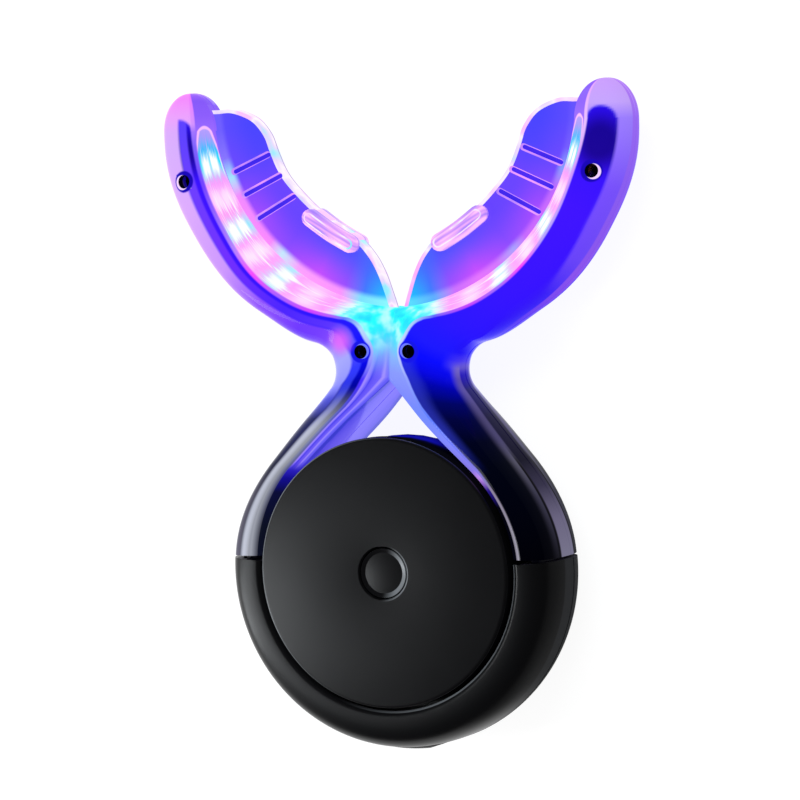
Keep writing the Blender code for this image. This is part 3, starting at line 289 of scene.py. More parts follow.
def inner_point(stage):
    """Point of the inner path: round the puck, up the arm, up the valley, along the window."""
    if stage <= 1:
        return on_circle(SHELL_BORE, SEAM_INNER_ANGLE + (SHOULDER_ANGLE - SEAM_INNER_ANGLE) * stage)
    if stage <= 2:
        return between(SHOULDER, CROTCH, stage - 1)
    if stage <= 2 + HEEL_SHARE:
        return between(CROTCH, WINDOW_START, (stage - 2) / HEEL_SHARE)
    if stage <= 3:
        share = (stage - 2 - HEEL_SHARE) / (1 - HEEL_SHARE)
        return window_point(WINDOW_START_ANGLE + (WINDOW_HEEL_ANGLE - WINDOW_START_ANGLE) * share)
    return window_point(WINDOW_HEEL_ANGLE + (WINDOW_END_ANGLE - WINDOW_HEEL_ANGLE) * (stage - 3))


def ridge_shift(stage):
    """How far the ridge moves to run smoothly past the inner path's corners at the crotch and heel."""
    reach = 0.0
    for corner, full, end, most in ((2, 0.25, 0.5, 0.3), (2 + HEEL_SHARE, 0.24, 0.4, 0.24)):
        past = stage - corner
        nearness = smoothstep(-end, -full, past) * (1 - smoothstep(full, end, past))
        reach = max(reach, most * nearness)
    if not reach:
        return Vector((0, 0))
    places = [inner_point(stage + reach * i / 4) for i in range(-4, 5)]
    return sum(places, Vector((0, 0))) / len(places) - inner_point(stage)


def outer_point(stage):
    """Point of the outer side: round the puck, up the arm, round the waist, along the wing."""
    if stage <= 1:
        radius = ARM_RADIUS - ARM_TAPER * max(stage, 0) ** 2 * (3 - 2 * stage)
        return on_circle(radius, SEAM_OUTER_ANGLE + (ARM_LINE_ANGLE - SEAM_OUTER_ANGLE) * stage)
    turn = ARM_LINE_ANGLE + math.pi
    if stage <= 2:
        line_start = on_circle(ARM_LINE_RADIUS, ARM_LINE_ANGLE)
        return between(line_start, on_circle(WAIST_FILLET, turn, WAIST_CENTRE), stage - 1)
    if stage <= 3:
        return on_circle(WAIST_FILLET, turn + (WAIST_END_ANGLE - turn) * (stage - 2), WAIST_CENTRE)
    lag = (stage - 3) ** WING_LAG
    trim = WING_TRIM * smoothstep(3.05, 3.3, stage) * (1 - smoothstep(3.65, 3.95, stage))
    return on_circle(WING_RADIUS - trim, between(WING_START_ANGLE, WING_END_ANGLE, lag), WING_CENTRE)


def rib_ends(stage):
    """Inner and outer end of the rib across the arm at a stage."""
    return inner_point(stage), outer_point(stage)


def slant(stage):
    """How much longer a depth is along the rib than square to the inner path."""
    ahead = (inner_point(min(stage + 0.1, 4)) - inner_point(stage - 0.1)).normalized()
    inner, outer = rib_ends(stage)
    along = (outer - inner).normalized()
    return 1 / max(along.x * ahead.y - along.y * ahead.x, 0.5)


def profile_at(stage, side):
    """Measures of the shell's front (side 1) or rear section at a stage, from the window foot."""
    inner, outer = rib_ends(stage)
    rim = HALF * eased(stage, rim_shares)
    return {
        "start": 0,
        "foot": LIP_TOP + (rim - LIP_TOP) * eased(stage, foot_shares),
        "band": WINDOW_BAND * eased(stage, band_shares),
        "rim": rim,
        "width": (outer - inner).length,
        "crest": rim * eased(stage, crest_shares),
        "power": eased(stage, squareness if side > 0 else rear_squareness),
        "share": 1 if side > 0 else eased(stage, rear_shares),
    }


def hollow_profile(stage, side):
    """Section of the hollow behind the shell wall, measured from the window foot."""
    profile = profile_at(stage, side)
    start = SHELL_WALL * slant(stage)
    return {
        **profile,
        "start": start,
        "foot": profile["foot"] - SHELL_WALL / 2,
        "band": max(profile["band"] + 0.4 * SHELL_WALL, start + GAP),
        "rim": profile["rim"] - SHELL_WALL,
        "width": profile["width"] - SHELL_WALL,
    }


def half_section(
    start, foot, band, rim, width, crest, power, share, low=PARTING, ridge_round=0.0, steps=28
):
    """Half a section as (distance, height, skin): up the window slope, over the ridge, down the front."""
    curve = []
    for i in range(steps + 1):
        turn = math.pi / 2 * i / steps
        along = band + (width - band) * math.sin(turn) ** (2 / power)
        height = rim * max(math.cos(turn), 0) ** (2 / power) + crest * math.sin(2 * turn)
        curve.append((along, height, 1 + i / steps))
    ridge = [curve[0][:2]] * 5
    if ridge_round:
        ridge = rounded_corner((start, foot), ridge[0], (ridge[0][0] + rim, rim), ridge_round, 4)
    points = [(start, 0, WALL_FOOT)]
    for i in range(8):
        up = i / 8
        points.append((between(start, ridge[0][0], up), between(foot, ridge[0][1], up), 0.95 * up))
    points += [(along, height, 0.96 + 0.02 * i) for i, (along, height) in enumerate(ridge)]
    window = [(along, max(height * share, low), skin) for along, height, skin in points]
    return window + [(along, max(height * share, PARTING), skin) for along, height, skin in curve[1:]]


def rounded_corner(before, corner, after, reach, steps):
    """Points that round a corner of an outline between two of its neighbours."""
    corner = Vector(corner)
    start = corner + (Vector(before) - corner).normalized() * reach
    end = corner + (Vector(after) - corner).normalized() * reach
    points = []
    for i in range(steps + 1):
        t = i / steps
        points.append(tuple(start * (1 - t) ** 2 + corner * 2 * t * (1 - t) + end * t**2))
    return points


def low_edge(stage):
    """Height where the shell's window side starts: over the clamped plate, or at the parting."""
    return PARTING + (LIP_FOOT - PARTING) * smoothstep(SLOT_STAGE, SLOT_STAGE + 0.08, stage)


def stages(start, end, step):
    """Even stages from start to end."""
    count = max(round((end - start) / step), 1)
    return [start + (end - start) * i / count for i in range(count + 1)]


def finished(name, bm, finishes, sharp=SHARP):
    """Put a bmesh built about the middle plane into an object whose place is in its mesh."""
    bmesh.ops.recalc_face_normals(bm, faces=bm.faces)
    bmesh.ops.translate(bm, vec=(0, 0, HALF), verts=bm.verts)
    mesh = bpy.data.meshes.new(name)
    bm.to_mesh(mesh)
    bm.free()
    piece = bpy.data.objects.new(name, mesh)
    bpy.context.collection.objects.link(piece)
    for finish in finishes if isinstance(finishes, (list, tuple)) else [finishes]:
        piece.data.materials.append(finish)
    piece.data.shade_smooth()
    piece.data.set_sharp_from_angle(angle=math.radians(sharp))
    return piece


def carried(piece, slot, *nodes, body=BODY):
    """The piece rides on a body and stands for some nodes; slot is not used."""
    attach(piece, body)
    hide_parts(*nodes)


def carve(piece, cutter_bm, operation="DIFFERENCE", sharp=SHARP):
    """Cut a piece with a closed mesh, or join it on, and keep the result."""
    cutter = finished(piece.name + "_cutter", cutter_bm, piece.data.materials[:])
    modifier = piece.modifiers.new("Carve", "BOOLEAN")
    modifier.operation = operation
    modifier.solver = "EXACT"
    modifier.object = cutter
    depsgraph = bpy.context.evaluated_depsgraph_get()
    carved = bpy.data.meshes.new_from_object(piece.evaluated_get(depsgraph))
    piece.modifiers.clear()
    piece.data = carved
    bpy.data.objects.remove(cutter)
    piece.data.shade_smooth()
    piece.data.set_sharp_from_angle(angle=math.radians(sharp))


def closed_rings(rings):
    """A closed solid through rings (inner, outer, stage, outline of (distance, height, skin, insert))."""
    count = len(rings[0][3])
    bm = bmesh.new()
    bmesh.ops.create_grid(bm, x_segments=count, y_segments=len(rings) - 1, size=0.5)
    along = bm.verts.layers.float.new("along")
    skin = bm.verts.layers.float.new("skin")
    insert = bm.verts.layers.float.new("insert")
    for vert in bm.verts:
        column = round((vert.co.x + 0.5) * count) % count
        inner, outer, stage, outline = rings[round((vert.co.y + 0.5) * (len(rings) - 1))]
        distance, height, vert[skin], vert[insert] = outline[column]
        mark = vert[skin] % INSIDE
        foot = inner + ridge_shift(stage) * smoothstep(0, 1, mark) * (1 - smoothstep(1, 1.8, mark))
        vert.co = (*(foot + (outer - inner).normalized() * distance), height)
        vert[along] = stage / ALONG_SPAN
    bmesh.ops.remove_doubles(bm, verts=bm.verts, dist=0.002 * MM)
    open_edges = [edge for edge in bm.edges if edge.is_boundary]
    bmesh.ops.holes_fill(bm, edges=open_edges, sides=0)
    return bm


def both_arms(bm):
    """Cut the right arm at the middle plane and mirror it to the left."""
    geom = bm.verts[:] + bm.edges[:] + bm.faces[:]
    bmesh.ops.bisect_plane(bm, geom=geom, plane_co=(0, 0, 0), plane_no=(-1, 0, 0), clear_outer=True)
    geom = bm.verts[:] + bm.edges[:] + bm.faces[:]
    bmesh.ops.mirror(bm, geom=geom, matrix=Matrix.Identity(4), merge_dist=0.003 * MM, axis="X")
    return bm


def mirrored(bm, axis):
    """The same mesh on the other side of a middle plane."""
    factors = [-1 if name == axis else 1 for name in "XYZ"]
    bmesh.ops.scale(bm, vec=factors, verts=bm.verts)
    return bm


def turned(profile, steps=160, angle=math.tau):
    """Turn an outline of (radius, height) points about the upright axis."""
    bm = bmesh.new()
    corners = [bm.verts.new((radius, 0, height)) for radius, height in profile]
    edges = [bm.edges.new(pair) for pair in zip(corners, corners[1:] + corners[:1])]
    full = angle >= math.tau
    bmesh.ops.spin(
        bm, geom=corners + edges, axis=(0, 0, 1), cent=(0, 0, 0), angle=angle, steps=steps,
        use_merge=full,
    )
    bmesh.ops.remove_doubles(bm, verts=bm.verts, dist=0.002 * MM)
    if full:
        wires = [edge for edge in bm.edges if not edge.link_faces]
        bmesh.ops.delete(bm, geom=wires, context="EDGES")
    else:
        open_edges = [edge for edge in bm.edges if edge.is_boundary]
        bmesh.ops.holes_fill(bm, edges=open_edges, sides=0)
    return bm


def rod(radius, low, high, centre=(0, 0), steps=32):
    """An upright rod from low to high."""
    bm = bmesh.new()
    bmesh.ops.create_cone(
        bm, cap_ends=True, segments=steps, radius1=radius, radius2=radius, depth=high - low
    )
    bmesh.ops.translate(bm, vec=(*centre, (low + high) / 2), verts=bm.verts)
    return bm


def block(low, high, edge=0.0, segments=4):
    """A box between two corners, with rounded edges where edge is given."""
    bm = bmesh.new()
    bmesh.ops.create_cube(bm, size=1)
    low = Vector(low)
    high = Vector(high)
    bmesh.ops.scale(bm, vec=high - low, verts=bm.verts)
    bmesh.ops.translate(bm, vec=(low + high) / 2, verts=bm.verts)
    if edge:
        bmesh.ops.bevel(
            bm, geom=bm.edges[:], offset=edge, affect="EDGES", segments=segments, profile=0.5, material=-1
        )
    return bm


def sheet_of(outline, low, high):
    """A plate from a closed outline of (x, y) points, extruded from low to high."""
    bm = bmesh.new()
    face = bm.faces.new([bm.verts.new((x, y, low)) for x, y in outline])
    grown = bmesh.ops.extrude_face_region(bm, geom=[face])
    lifted = [item for item in grown["geom"] if isinstance(item, bmesh.types.BMVert)]
    bmesh.ops.translate(bm, vec=(0, 0, high - low), verts=lifted)
    return bm


def is_level(edge):
    """Whether both ends of an edge are at one height."""
    return abs(edge.verts[0].co.z - edge.verts[1].co.z) < 0.0001 * MM


def smooth_through(points, steps=6):
    """Points of a smooth curve through the given points."""
    ends = [points[0], *points, points[-1]]
    curve = []
    for around in zip(ends, ends[1:], ends[2:], ends[3:]):
        for i in range(steps):
            t = i / steps
            curve.append(tuple(
                (2 * b + (c - a) * t + (2 * a - 5 * b + 4 * c - d) * t**2 + (3 * b - a - 3 * c + d) * t**3)
                / 2 for a, b, c, d in zip(*around)
            ))
    curve.append(tuple(points[-1]))
    return curve


def round_end(centre, start, steps=8):
    """Points inside the half circle that turns counter-clockwise from start about centre."""
    first = math.atan2(start.y - centre.y, start.x - centre.x)
    radius = (start - centre).length
    return [on_circle(radius, first + math.pi * i / steps, centre) for i in range(1, steps)]


def add(tree, kind, inputs=None, stops=None, **settings):
    """Add a node with its settings; inputs hold plain values or the sockets that feed it."""
    node = tree.nodes.new("ShaderNode" + kind)
    for name, value in settings.items():
        setattr(node, name, value)
    for name, value in (inputs or {}).items():
        if isinstance(value, bpy.types.NodeSocket):
            tree.links.new(value, node.inputs[name])
        else:
            node.inputs[name].default_value = value
    for i, (place, colour) in enumerate(stops or ()):
        ramp = node.color_ramp.elements
        element = ramp[i] if i < 2 else ramp.new(place)
        element.position = place
        element.color = (*(linear(colour) if isinstance(colour, str) else colour), 1)
    return node


def new_finish(name, colour="#808080", roughness=0.5, **sockets):
    """A material whose main shader has these constant values."""
    finish = bpy.data.materials.new(name)
    finish.use_nodes = True
    shader = finish.node_tree.nodes["Principled BSDF"]
    tone = linear(colour) if isinstance(colour, str) else colour
    shader.inputs["Base Color"].default_value = (*tone, 1)
    shader.inputs["Roughness"].default_value = roughness
    for socket, value in sockets.items():
        shader.inputs[socket.replace("_", " ")].default_value = value
    finish.diffuse_color = (*tone, 1)
    return finish, finish.node_tree, shader


def place_by_axis(tree, coordinate="Object"):
    """Place on the piece, or another coordinate of it, split into X, Y and Z."""
    return add(tree, "SeparateXYZ", {"Vector": add(tree, "TexCoord").outputs[coordinate]}).outputs


def grain(tree, size, detail, low, high):
    """A noise over the piece's own place, as it is and spread between two values."""
    place = add(tree, "TexCoord").outputs["Object"]
    noise = add(tree, "TexNoise", {"Vector": place, "Scale": 1 / size, "Detail": detail})
    spread = add(tree, "MapRange", {"Value": noise.outputs["Fac"], "To Min": low, "To Max": high})
    return noise.outputs["Fac"], spread.outputs["Result"]


def coverage(tree, *limits):
    """How far a layer covers: the product of sockets, numbers and eased limits.

    An eased limit is (value, where it is 0, where it is 1), followed by its lowest and highest share
    where these aren't 0 and 1.
    """
    product = None
    for limit in limits:
        if isinstance(limit, tuple):
            value, low, high, bottom, top = (*limit, 0.0, 1.0)[:5]
            limit = add(tree, "MapRange", {
                "Value": value, "From Min": low, "From Max": high, "To Min": bottom, "To Max": top,
            }, interpolation_type="SMOOTHSTEP").outputs["Result"]
        if product is not None:
            limit = add(tree, "Math", {0: product, 1: limit}, operation="MULTIPLY").outputs[0]
        product = limit
    return product


def layer(tree, below, above, *limits):
    """Lay a paint over another one as far as its limits let it: each is sRGB hex or a socket."""
    below, above = ((*linear(paint), 1) if isinstance(paint, str) else paint for paint in (below, above))
    factor = coverage(tree, *limits)
    laid = add(tree, "Mix", {"Factor": factor, "A": below, "B": above}, data_type="RGBA")
    return laid.outputs["Result"]


def painted_glow(tree, shader, colour, strength, tint_share=0.2):
    """Let a colour glow from inside and tint the surface too."""
    tree.links.new(colour, shader.inputs["Emission Color"])
    shader.inputs["Emission Strength"].default_value = strength
    tint = add(tree, "VectorMath", {0: colour, "Scale": tint_share}, operation="SCALE").outputs["Vector"]
    tree.links.new(tint, shader.inputs["Base Color"])


# Painted highlights on the black plastic: pale rings, each as (inner radius, outer radius, side that the
# light meets) and painted on that side only, and the ring's painted dark parting line with a paler painted
# highlight under it
SHEEN_PATCH = 9 * MM
PUCK_BLACK = "#0b0b0d"
HIGHLIGHT_GREY = "#6c7074"
MARK_FADE = 0.06 * MM
HIGHLIGHT_HEIGHTS = (2 * HALF - 2.2 * MM, 2 * HALF - 1.6 * MM)
COVER_HIGHLIGHT = (COVER_RADIUS - 0.18 * MM, COVER_RADIUS + MM, (-1, 0.2, 0))
WELL_HIGHLIGHT = (WELL_RADIUS - 0.25 * MM, WELL_RADIUS + 0.05 * MM, (1, -0.2, 0))
BUTTON_HIGHLIGHT = (BUTTON_FACE, BUTTON_RADIUS, (1.4, -0.2, 0))
RING_HIGHLIGHT = (SHELL_BORE, SHELL_BORE + 0.22 * MM, (1, -0.5, 0))
RIM_START = SHELL_RADIUS - 1.5 * MM
RIM_FADE = 0.3 * MM
RIM_LINE_FOOT = HALF + 2.7 * MM
RIM_LINE_TOP = HALF + 2.9 * MM


def moulded_black(name, colour, roughness, grit=0.16 * MM, depth=0.005 * MM, highlight_rings=(), has_rim=False):
    """Black plastic or rubber from a spark-eroded mould: its fine grain spreads the little sheen it has."""
    finish, tree, shader = new_finish(name, colour, roughness, Specular_IOR_Level=0.25)
    fine, _ = grain(tree, grit, 2, 0, 1)
    _, patches = grain(tree, SHEEN_PATCH, 3, roughness - 0.03, roughness + 0.04)
    bump = add(tree, "Bump", {"Height": fine, "Strength": 0.2, "Distance": depth})
    tree.links.new(bump.outputs["Normal"], shader.inputs["Normal"])
    tree.links.new(patches, shader.inputs["Roughness"])
    # Painted highlights on the rings given, on the side that the light meets
    if highlight_rings:
        tree.links.new(painted_highlights(tree, highlight_rings, has_rim), shader.inputs["Base Color"])
    return finish


def painted_highlights(tree, highlight_rings, has_rim):
    """Black with painted highlights: pale rings on the upper edges on the side the light meets, and where
    it has a rim, a dark parting line with a paler painted highlight under it.
    """
    place = place_by_axis(tree)
    flat = add(tree, "CombineXYZ", {"X": place["X"], "Y": place["Y"]}).outputs["Vector"]
    radius = add(tree, "VectorMath", {0: flat}, operation="LENGTH").outputs["Value"]
    paint = PUCK_BLACK
    for low, high, side in highlight_rings:
        facing = add(tree, "VectorMath", {0: flat, 1: side}, operation="DOT_PRODUCT").outputs["Value"]
        lit_side = (facing, 0.0, high)
        paint = layer(
            tree, paint, HIGHLIGHT_GREY, (radius, low - MARK_FADE, low), (radius, high + MARK_FADE, high),
            (place["Z"], *HIGHLIGHT_HEIGHTS), lit_side,
        )
    # On the lit side of the rim: a painted dark parting line, and a paler painted highlight band under it
    if has_rim:
        rim = coverage(tree, (radius, RIM_START, RIM_START + RIM_FADE), lit_side)
        paint = layer(tree, paint, "#000000", rim, (place["Z"], RIM_LINE_TOP + MARK_FADE, RIM_LINE_TOP))
        paint = layer(tree, paint, "#2c2e32", rim, (place["Z"], RIM_LINE_FOOT + 0.1 * MM, RIM_LINE_FOOT))
    return paint


# Colour by stage of the arm. The window's painted glow, with each lit diode's light painted as a pale spot
# in a halo
window_stops = (
    (0.55, "#04040f"), (0.75, "#2a1a8c"), (0.9, "#c08cf0"), (1.0, "#8a7ae8"), (1.3, "#8088fd"),
    (1.6, "#7088fd"), (1.85, "#7c88fd"), (2.05, "#8494fe"), (2.2, "#84b0fd"), (2.4, "#40dcfb"),
    (2.6, "#22fcfc"), (2.8, "#40f6fc"), (2.96, "#90fbfc"), (3.06, "#ff9cf5"), (3.16, "#ffc4fd"),
    (3.25, "#ffa0f8"), (3.31, "#a0f2ff"), (3.39, "#ff9cf5"), (3.46, "#ffd0fd"), (3.52, "#ff9cf8"),
    (3.58, "#88ecff"), (3.66, "#ff94f0"), (3.72, "#ffc8fc"), (3.79, "#f49cff"), (3.86, "#20e6fd"),
    (3.93, "#40b8ff"), (3.98, "#a898fc"), (4.05, "#b8a0fc"),
)
# The core behind the face, painted as glowing, navy down the arms
core_stops = (
    (0.0, "#010106"), (1.0, "#010311"), (1.3, "#01031c"), (1.6, "#02043c"), (1.8, "#010560"),
    (2.0, "#0204a8"), (2.2, "#0808e0"), (2.4, "#0a0cfc"), (2.6, "#1c18ff"), (3.0, "#2816ff"),
    (3.4, "#3713ff"), (3.7, "#3e13ff"), (4.0, "#3010f8"), (4.2, "#2a0cf0"),
)
# The ridge between window and face, with painted glow and highlights, of the right arm and of the left arm
right_ridge_stops = (
    (0.3, "#8c8898"), (0.75, "#8a8098"), (0.95, "#8478d8"), (1.3, "#6a78f8"), (1.6, "#5a78fa"),
    (2.0, "#8c9cfc"), (2.3, "#c0ccff"), (2.7, "#a8c4ff"), (2.95, "#5a68fa"), (3.15, "#c040fa"),
    (3.3, "#9a6cfc"), (3.42, "#f040fa"), (3.55, "#b0a0fc"), (3.8, "#c890fd"), (4.0, "#e0b8ff"),
    (4.5, "#e8a0fe"),
)
left_ridge_stops = (
    (0.3, "#12162c"), (0.9, "#1c2058"), (1.3, "#323d90"), (1.6, "#2835b0"), (2.0, "#4a2efd"),
    (2.3, "#a8acfe"), (2.6, "#b4d4ff"), (2.85, "#5a78fa"), (3.1, "#d040fa"), (3.25, "#a060fc"),
    (3.4, "#f048fa"), (3.52, "#b080fc"), (3.8, "#7040fc"), (3.95, "#7c60f8"), (4.1, "#d090fc"),
    (4.5, "#f078fe"),
)
# The clear outer wall of the right arm, seen broadside, with a painted lengthwise sheen, and of the left
# arm, seen along the wall, with a paler painted reflection
right_wall_stops = (
    (0.0, "#12111a"), (0.6, "#38364a"), (1.0, "#545264"), (1.3, "#48436a"), (1.6, "#48416e"),
    (1.8, "#504882"), (2.0, "#5a4fa0"), (2.2, "#5a4cae"), (2.38, "#7a6ac8"), (2.5, "#4c3cf0"),
    (2.65, "#2010fc"), (3.1, "#2a12fc"), (3.4, "#3a1cfc"), (3.55, "#6a44fc"), (3.8, "#7850fc"),
    (4.0, "#9a7cfc"), (4.2, "#c0a0f8"), (4.5, "#c89cfa"),
)
left_wall_stops = (
    (0.0, "#5c5a6a"), (0.6, "#4a4858"), (1.0, "#20233c"), (1.6, "#20245c"), (1.85, "#4c50d0"),
    (2.0, "#8a8cfa"), (2.4, "#a0a2fa"), (2.6, "#9c88f8"), (2.8, "#7a44fc"), (3.1, "#6c38fc"),
    (3.3, "#8c50fd"), (3.5, "#c490fd"), (3.75, "#d4a4fd"), (3.95, "#d0a8fc"), (4.2, "#e49cfb"),
    (4.5, "#f282fe"),
)
# The outermost edge of the arms, with painted glow, grey near the puck with a painted reflection
edge_stops = (
    (0.0, "#77748c"), (0.35, "#6a6480"), (0.7, "#343048"), (1.0, "#110f22"), (1.6, "#151238"),
    (2.0, "#1a1468"), (2.3, "#2616c0"), (2.6, "#2c10fc"), (3.2, "#5a28f8"), (3.5, "#8c50f0"),
    (3.8, "#8a5cf4"), (4.1, "#a070f4"), (4.5, "#b47cf4"),
)
# The painted highlight line beside the ridge of the left arm
left_highlight_stops = (
    (0.0, "#1a2040"), (1.0, "#1c2250"), (1.3, "#262c70"), (1.6, "#3c40a0"), (1.8, "#444cb8"),
    (2.0, "#2c34e0"), (2.2, "#3038f8"), (2.6, "#6058fd"), (2.9, "#5a34fe"), (3.2, "#4a24fe"),
    (3.5, "#6c2cfd"), (3.8, "#6a3cfd"), (4.0, "#5a40fc"),
)
# The left arm's slope from the window's foot to the ridge, with painted streaks of light and shade, and the
# painted pairs of light over the diodes
left_slope_stops = (
    (-0.35, "#7460fa"), (-0.22, "#6c58f8"), (-0.1, "#5a46f0"), (-0.04, "#2a24d0"), (0.02, "#2822c8"),
    (0.08, "#5848ee"), (0.25, "#6c60f8"), (0.38, "#a48cfe"), (0.48, "#6a52f6"), (0.66, "#5a40ee"),
    (0.74, "#3418e8"), (0.84, "#8a74fc"), (0.95, "#a88afe"),
)
pair_stops = (
    (0.1, "#000000"), (0.2, "#ffffff"), (0.42, "#ffffff"), (0.5, "#707070"), (0.58, "#ffffff"),
    (0.8, "#ffffff"), (0.92, "#000000"),
)
led_rows = (
    (2.98, "#c0c0c0"), (3.16, "#909090"), (3.31, "#f4f4f4"), (3.46, "#a8a8a8"), (3.585, "#ffffff"),
    (3.72, "#a8a8a8"), (3.865, "#ffffff"),
)
ROW_HALF = 0.025
# The left window below the shoulder, painted dim, and the clear tip past both windows' arched end, with
# painted lilac glow
dusk_stops = ((0.3, "#0c1022"), (0.7, "#0c0e38"), (0.88, "#140e90"), (1.1, "#3a2ae0"))
tip_stops = ((4.0, "#9868f8"), (4.2, "#8a5cf6"), (4.4, "#8458f4"), (4.5, "#a060fa"))
# The painted glow of the core that stands in the hollow arms
core_glow_stops = (
    (0.0, "#010108"), (1.5, "#02021c"), (2.2, "#0a0870"), (3.0, "#1c0cd0"), (4.0, "#1400a0"),
)
# Streaks of painted light over the length of an arm and over its skin, and the size of the waist's painted
# bright patches
STREAKS = (24.0, 15.0, 1.0)
WAIST_PATCH = 2.2 * MM
# Marks by their place in plan on the right arm, mirrored on the left one, with where each starts and
# is full: the painted shade by the wing's hole, the painted pink glow, and the darker ring, painted glint
# and bore painted black as shade of a hole
DARK_PATCH = WING_PIN + Vector((1.0 * MM, 3.6 * MM))
DARK_PATCH_REACH = (1.4 * MM, 5.4 * MM)
PINK_GLOW = WAIST_PIN + Vector((3.0 * MM, 1.3 * MM))
PINK_GLOW_REACH = (2.4 * MM, 0.2 * MM)
RING_REACH = (1.55 * MM, 1.3 * MM)
GLINT_REACH = (1.02 * MM, 0.94 * MM)
BORE_REACH = (0.9 * MM, 0.87 * MM)
hole_marks = (
    (WING_PIN, Vector((0.25 * MM, -0.1 * MM)), "#1a08b0", "#f0d0ff"),
    (WAIST_PIN, Vector((-0.22 * MM, 0.08 * MM)), "#1616e0", "#6c78ff"),
)
# Where the right side's paint gives way to the left side's, each side painted lit in its own way
TO_THE_LEFT = (0.2 * MM, -0.2 * MM)


def by_stage(stops):
    """Stops by stage as stops by the attribute along."""
    return [(stage / ALONG_SPAN, colour) for stage, colour in stops]


def by_skin(stops):
    """Stops by skin as stops from the foot of the wall to the ridge."""
    return [((skin - WALL_FOOT) / (1 - WALL_FOOT), colour) for skin, colour in stops]


def distance_in_plan(tree, place, point):
    """Distance in plan from a point of the right arm, or from its mirror image."""
    side = add(tree, "Math", {0: place["X"]}, operation="ABSOLUTE").outputs[0]
    offset = add(tree, "CombineXYZ", {"X": side, "Y": place["Y"]}).outputs["Vector"]
    return add(tree, "VectorMath", {0: offset, 1: (*point, 0)}, operation="DISTANCE").outputs["Value"]


def clear_plastic():
    """Polished clear polycarbonate with painted glow, highlights and reflections: glossy, violet on the
    wings, navy down the arms.
    """
    finish, tree, shader = new_finish("lit_clear_polycarbonate", "#1c10a0", 0.08, Specular_IOR_Level=0.05)
    along, skin, insert = (
        add(tree, "Attribute", attribute_name=name).outputs["Fac"] for name in ("along", "skin", "insert")
    )
    stage = add(tree, "Math", {0: along, 1: ALONG_SPAN}, operation="MULTIPLY").outputs[0]
    place = place_by_axis(tree)
    left = coverage(tree, (place["X"], *TO_THE_LEFT))
    outside = coverage(tree, (skin, 2.4, 2.2))
    paint = arm_paint(tree, along, stage, skin, insert, place, left)
    paint = layer(tree, window_glow(tree, along, stage, skin, left), paint, (skin, 0.94, 0.98))
    # A painted highlight along the ridge of the left arm near the puck
    paint = layer(
        tree, paint, "#bcc0ce", (skin, 0.92, 1.12, 0.0, 0.9), (skin, 1.23, 1.12), (stage, 1.95, 1.4), left,
    )
    # Round each hole: a darker ring, a painted glint on one side, and the bore painted near black as shade
    for pin, aside, ring_tone, glint_tone in hole_marks:
        from_pin = distance_in_plan(tree, place, pin)
        from_glint = distance_in_plan(tree, place, pin + aside)
        paint = layer(tree, paint, ring_tone, (from_pin, *RING_REACH), outside)
        paint = layer(tree, paint, glint_tone, (from_glint, *GLINT_REACH), outside)
        paint = layer(tree, paint, "#020208", (from_pin, *BORE_REACH))
    # A painted pink glow on the left arm beside the waist's hole
    from_pink_glow = distance_in_plan(tree, place, PINK_GLOW)
    paint = layer(tree, paint, "#e060fa", (from_pink_glow, *PINK_GLOW_REACH, 0.0, 0.8), left, outside)
    inside = coverage(tree, (skin, 2.2, 2.8, 1.0, 0.1))
    shown = add(tree, "VectorMath", {0: paint, "Scale": inside}, operation="SCALE").outputs["Vector"]
    painted_glow(tree, shader, shown, 0.88)
    return finish


def arm_paint(tree, along, stage, skin, insert, place, left):
    """The arms and wings outside the windows, with painted glow, sheen and highlights: core, clear wall,
    outermost edge and ridge.
    """
    core, right_wall, left_wall, edge, right_ridge, left_ridge, left_highlight = (
        add(tree, "ValToRGB", {"Fac": along}, stops=by_stage(stops)).outputs["Color"] for stops in (
            core_stops, right_wall_stops, left_wall_stops, edge_stops, right_ridge_stops,
            left_ridge_stops, left_highlight_stops,
        )
    )
    arm_part = coverage(tree, (stage, 2.5, 2.25))
    wing_part = coverage(tree, (stage, 3.0, 3.4))
    # Painted shade on the core by the wing's hole
    shade = coverage(tree, (distance_in_plan(tree, place, DARK_PATCH), *DARK_PATCH_REACH, 0.3, 1.0))
    core = add(tree, "VectorMath", {0: core, "Scale": shade}, operation="SCALE").outputs["Vector"]
    wing_wall = coverage(tree, (skin, 1.5, 1.95))
    arm_wall = coverage(tree, (skin, 1.66, 1.84))
    wall_share = add(tree, "Mix", {"Factor": arm_part, "A": wing_wall, "B": arm_wall}).outputs["Result"]
    # Painted blue light from the window on the right arm's face near the ridge
    right_face = layer(tree, core, "#3640d8", (skin, 1.22, 1.02, 0.0, 0.42), (stage, 0.9, 1.5), arm_part)
    right_face = layer(tree, right_face, right_wall, wall_share)
    # The left arm's face: a painted highlight line beside the ridge, then the wall's painted reflection
    left_face = layer(tree, core, left_highlight, (skin, 1.05, 1.09), (skin, 1.22, 1.16))
    left_face = layer(tree, left_face, left_wall, (skin, 1.17, 1.24))
    face = layer(tree, right_face, left_face, left)
    paint = layer(tree, layer(tree, right_wall, left_wall, left), face, insert)
    edge_share = add(tree, "Math", {0: arm_part, 1: wing_part}, operation="MAXIMUM").outputs[0]
    paint = layer(tree, paint, edge, (skin, 1.86, 1.9), edge_share)
    paint = layer(tree, paint, "#07060e", (skin, 1.83, 1.85), (skin, 1.9, 1.87), (stage, 1.3, 0.9))
    return layer(tree, layer(tree, right_ridge, left_ridge, left), paint, (skin, 1.0, 1.03))


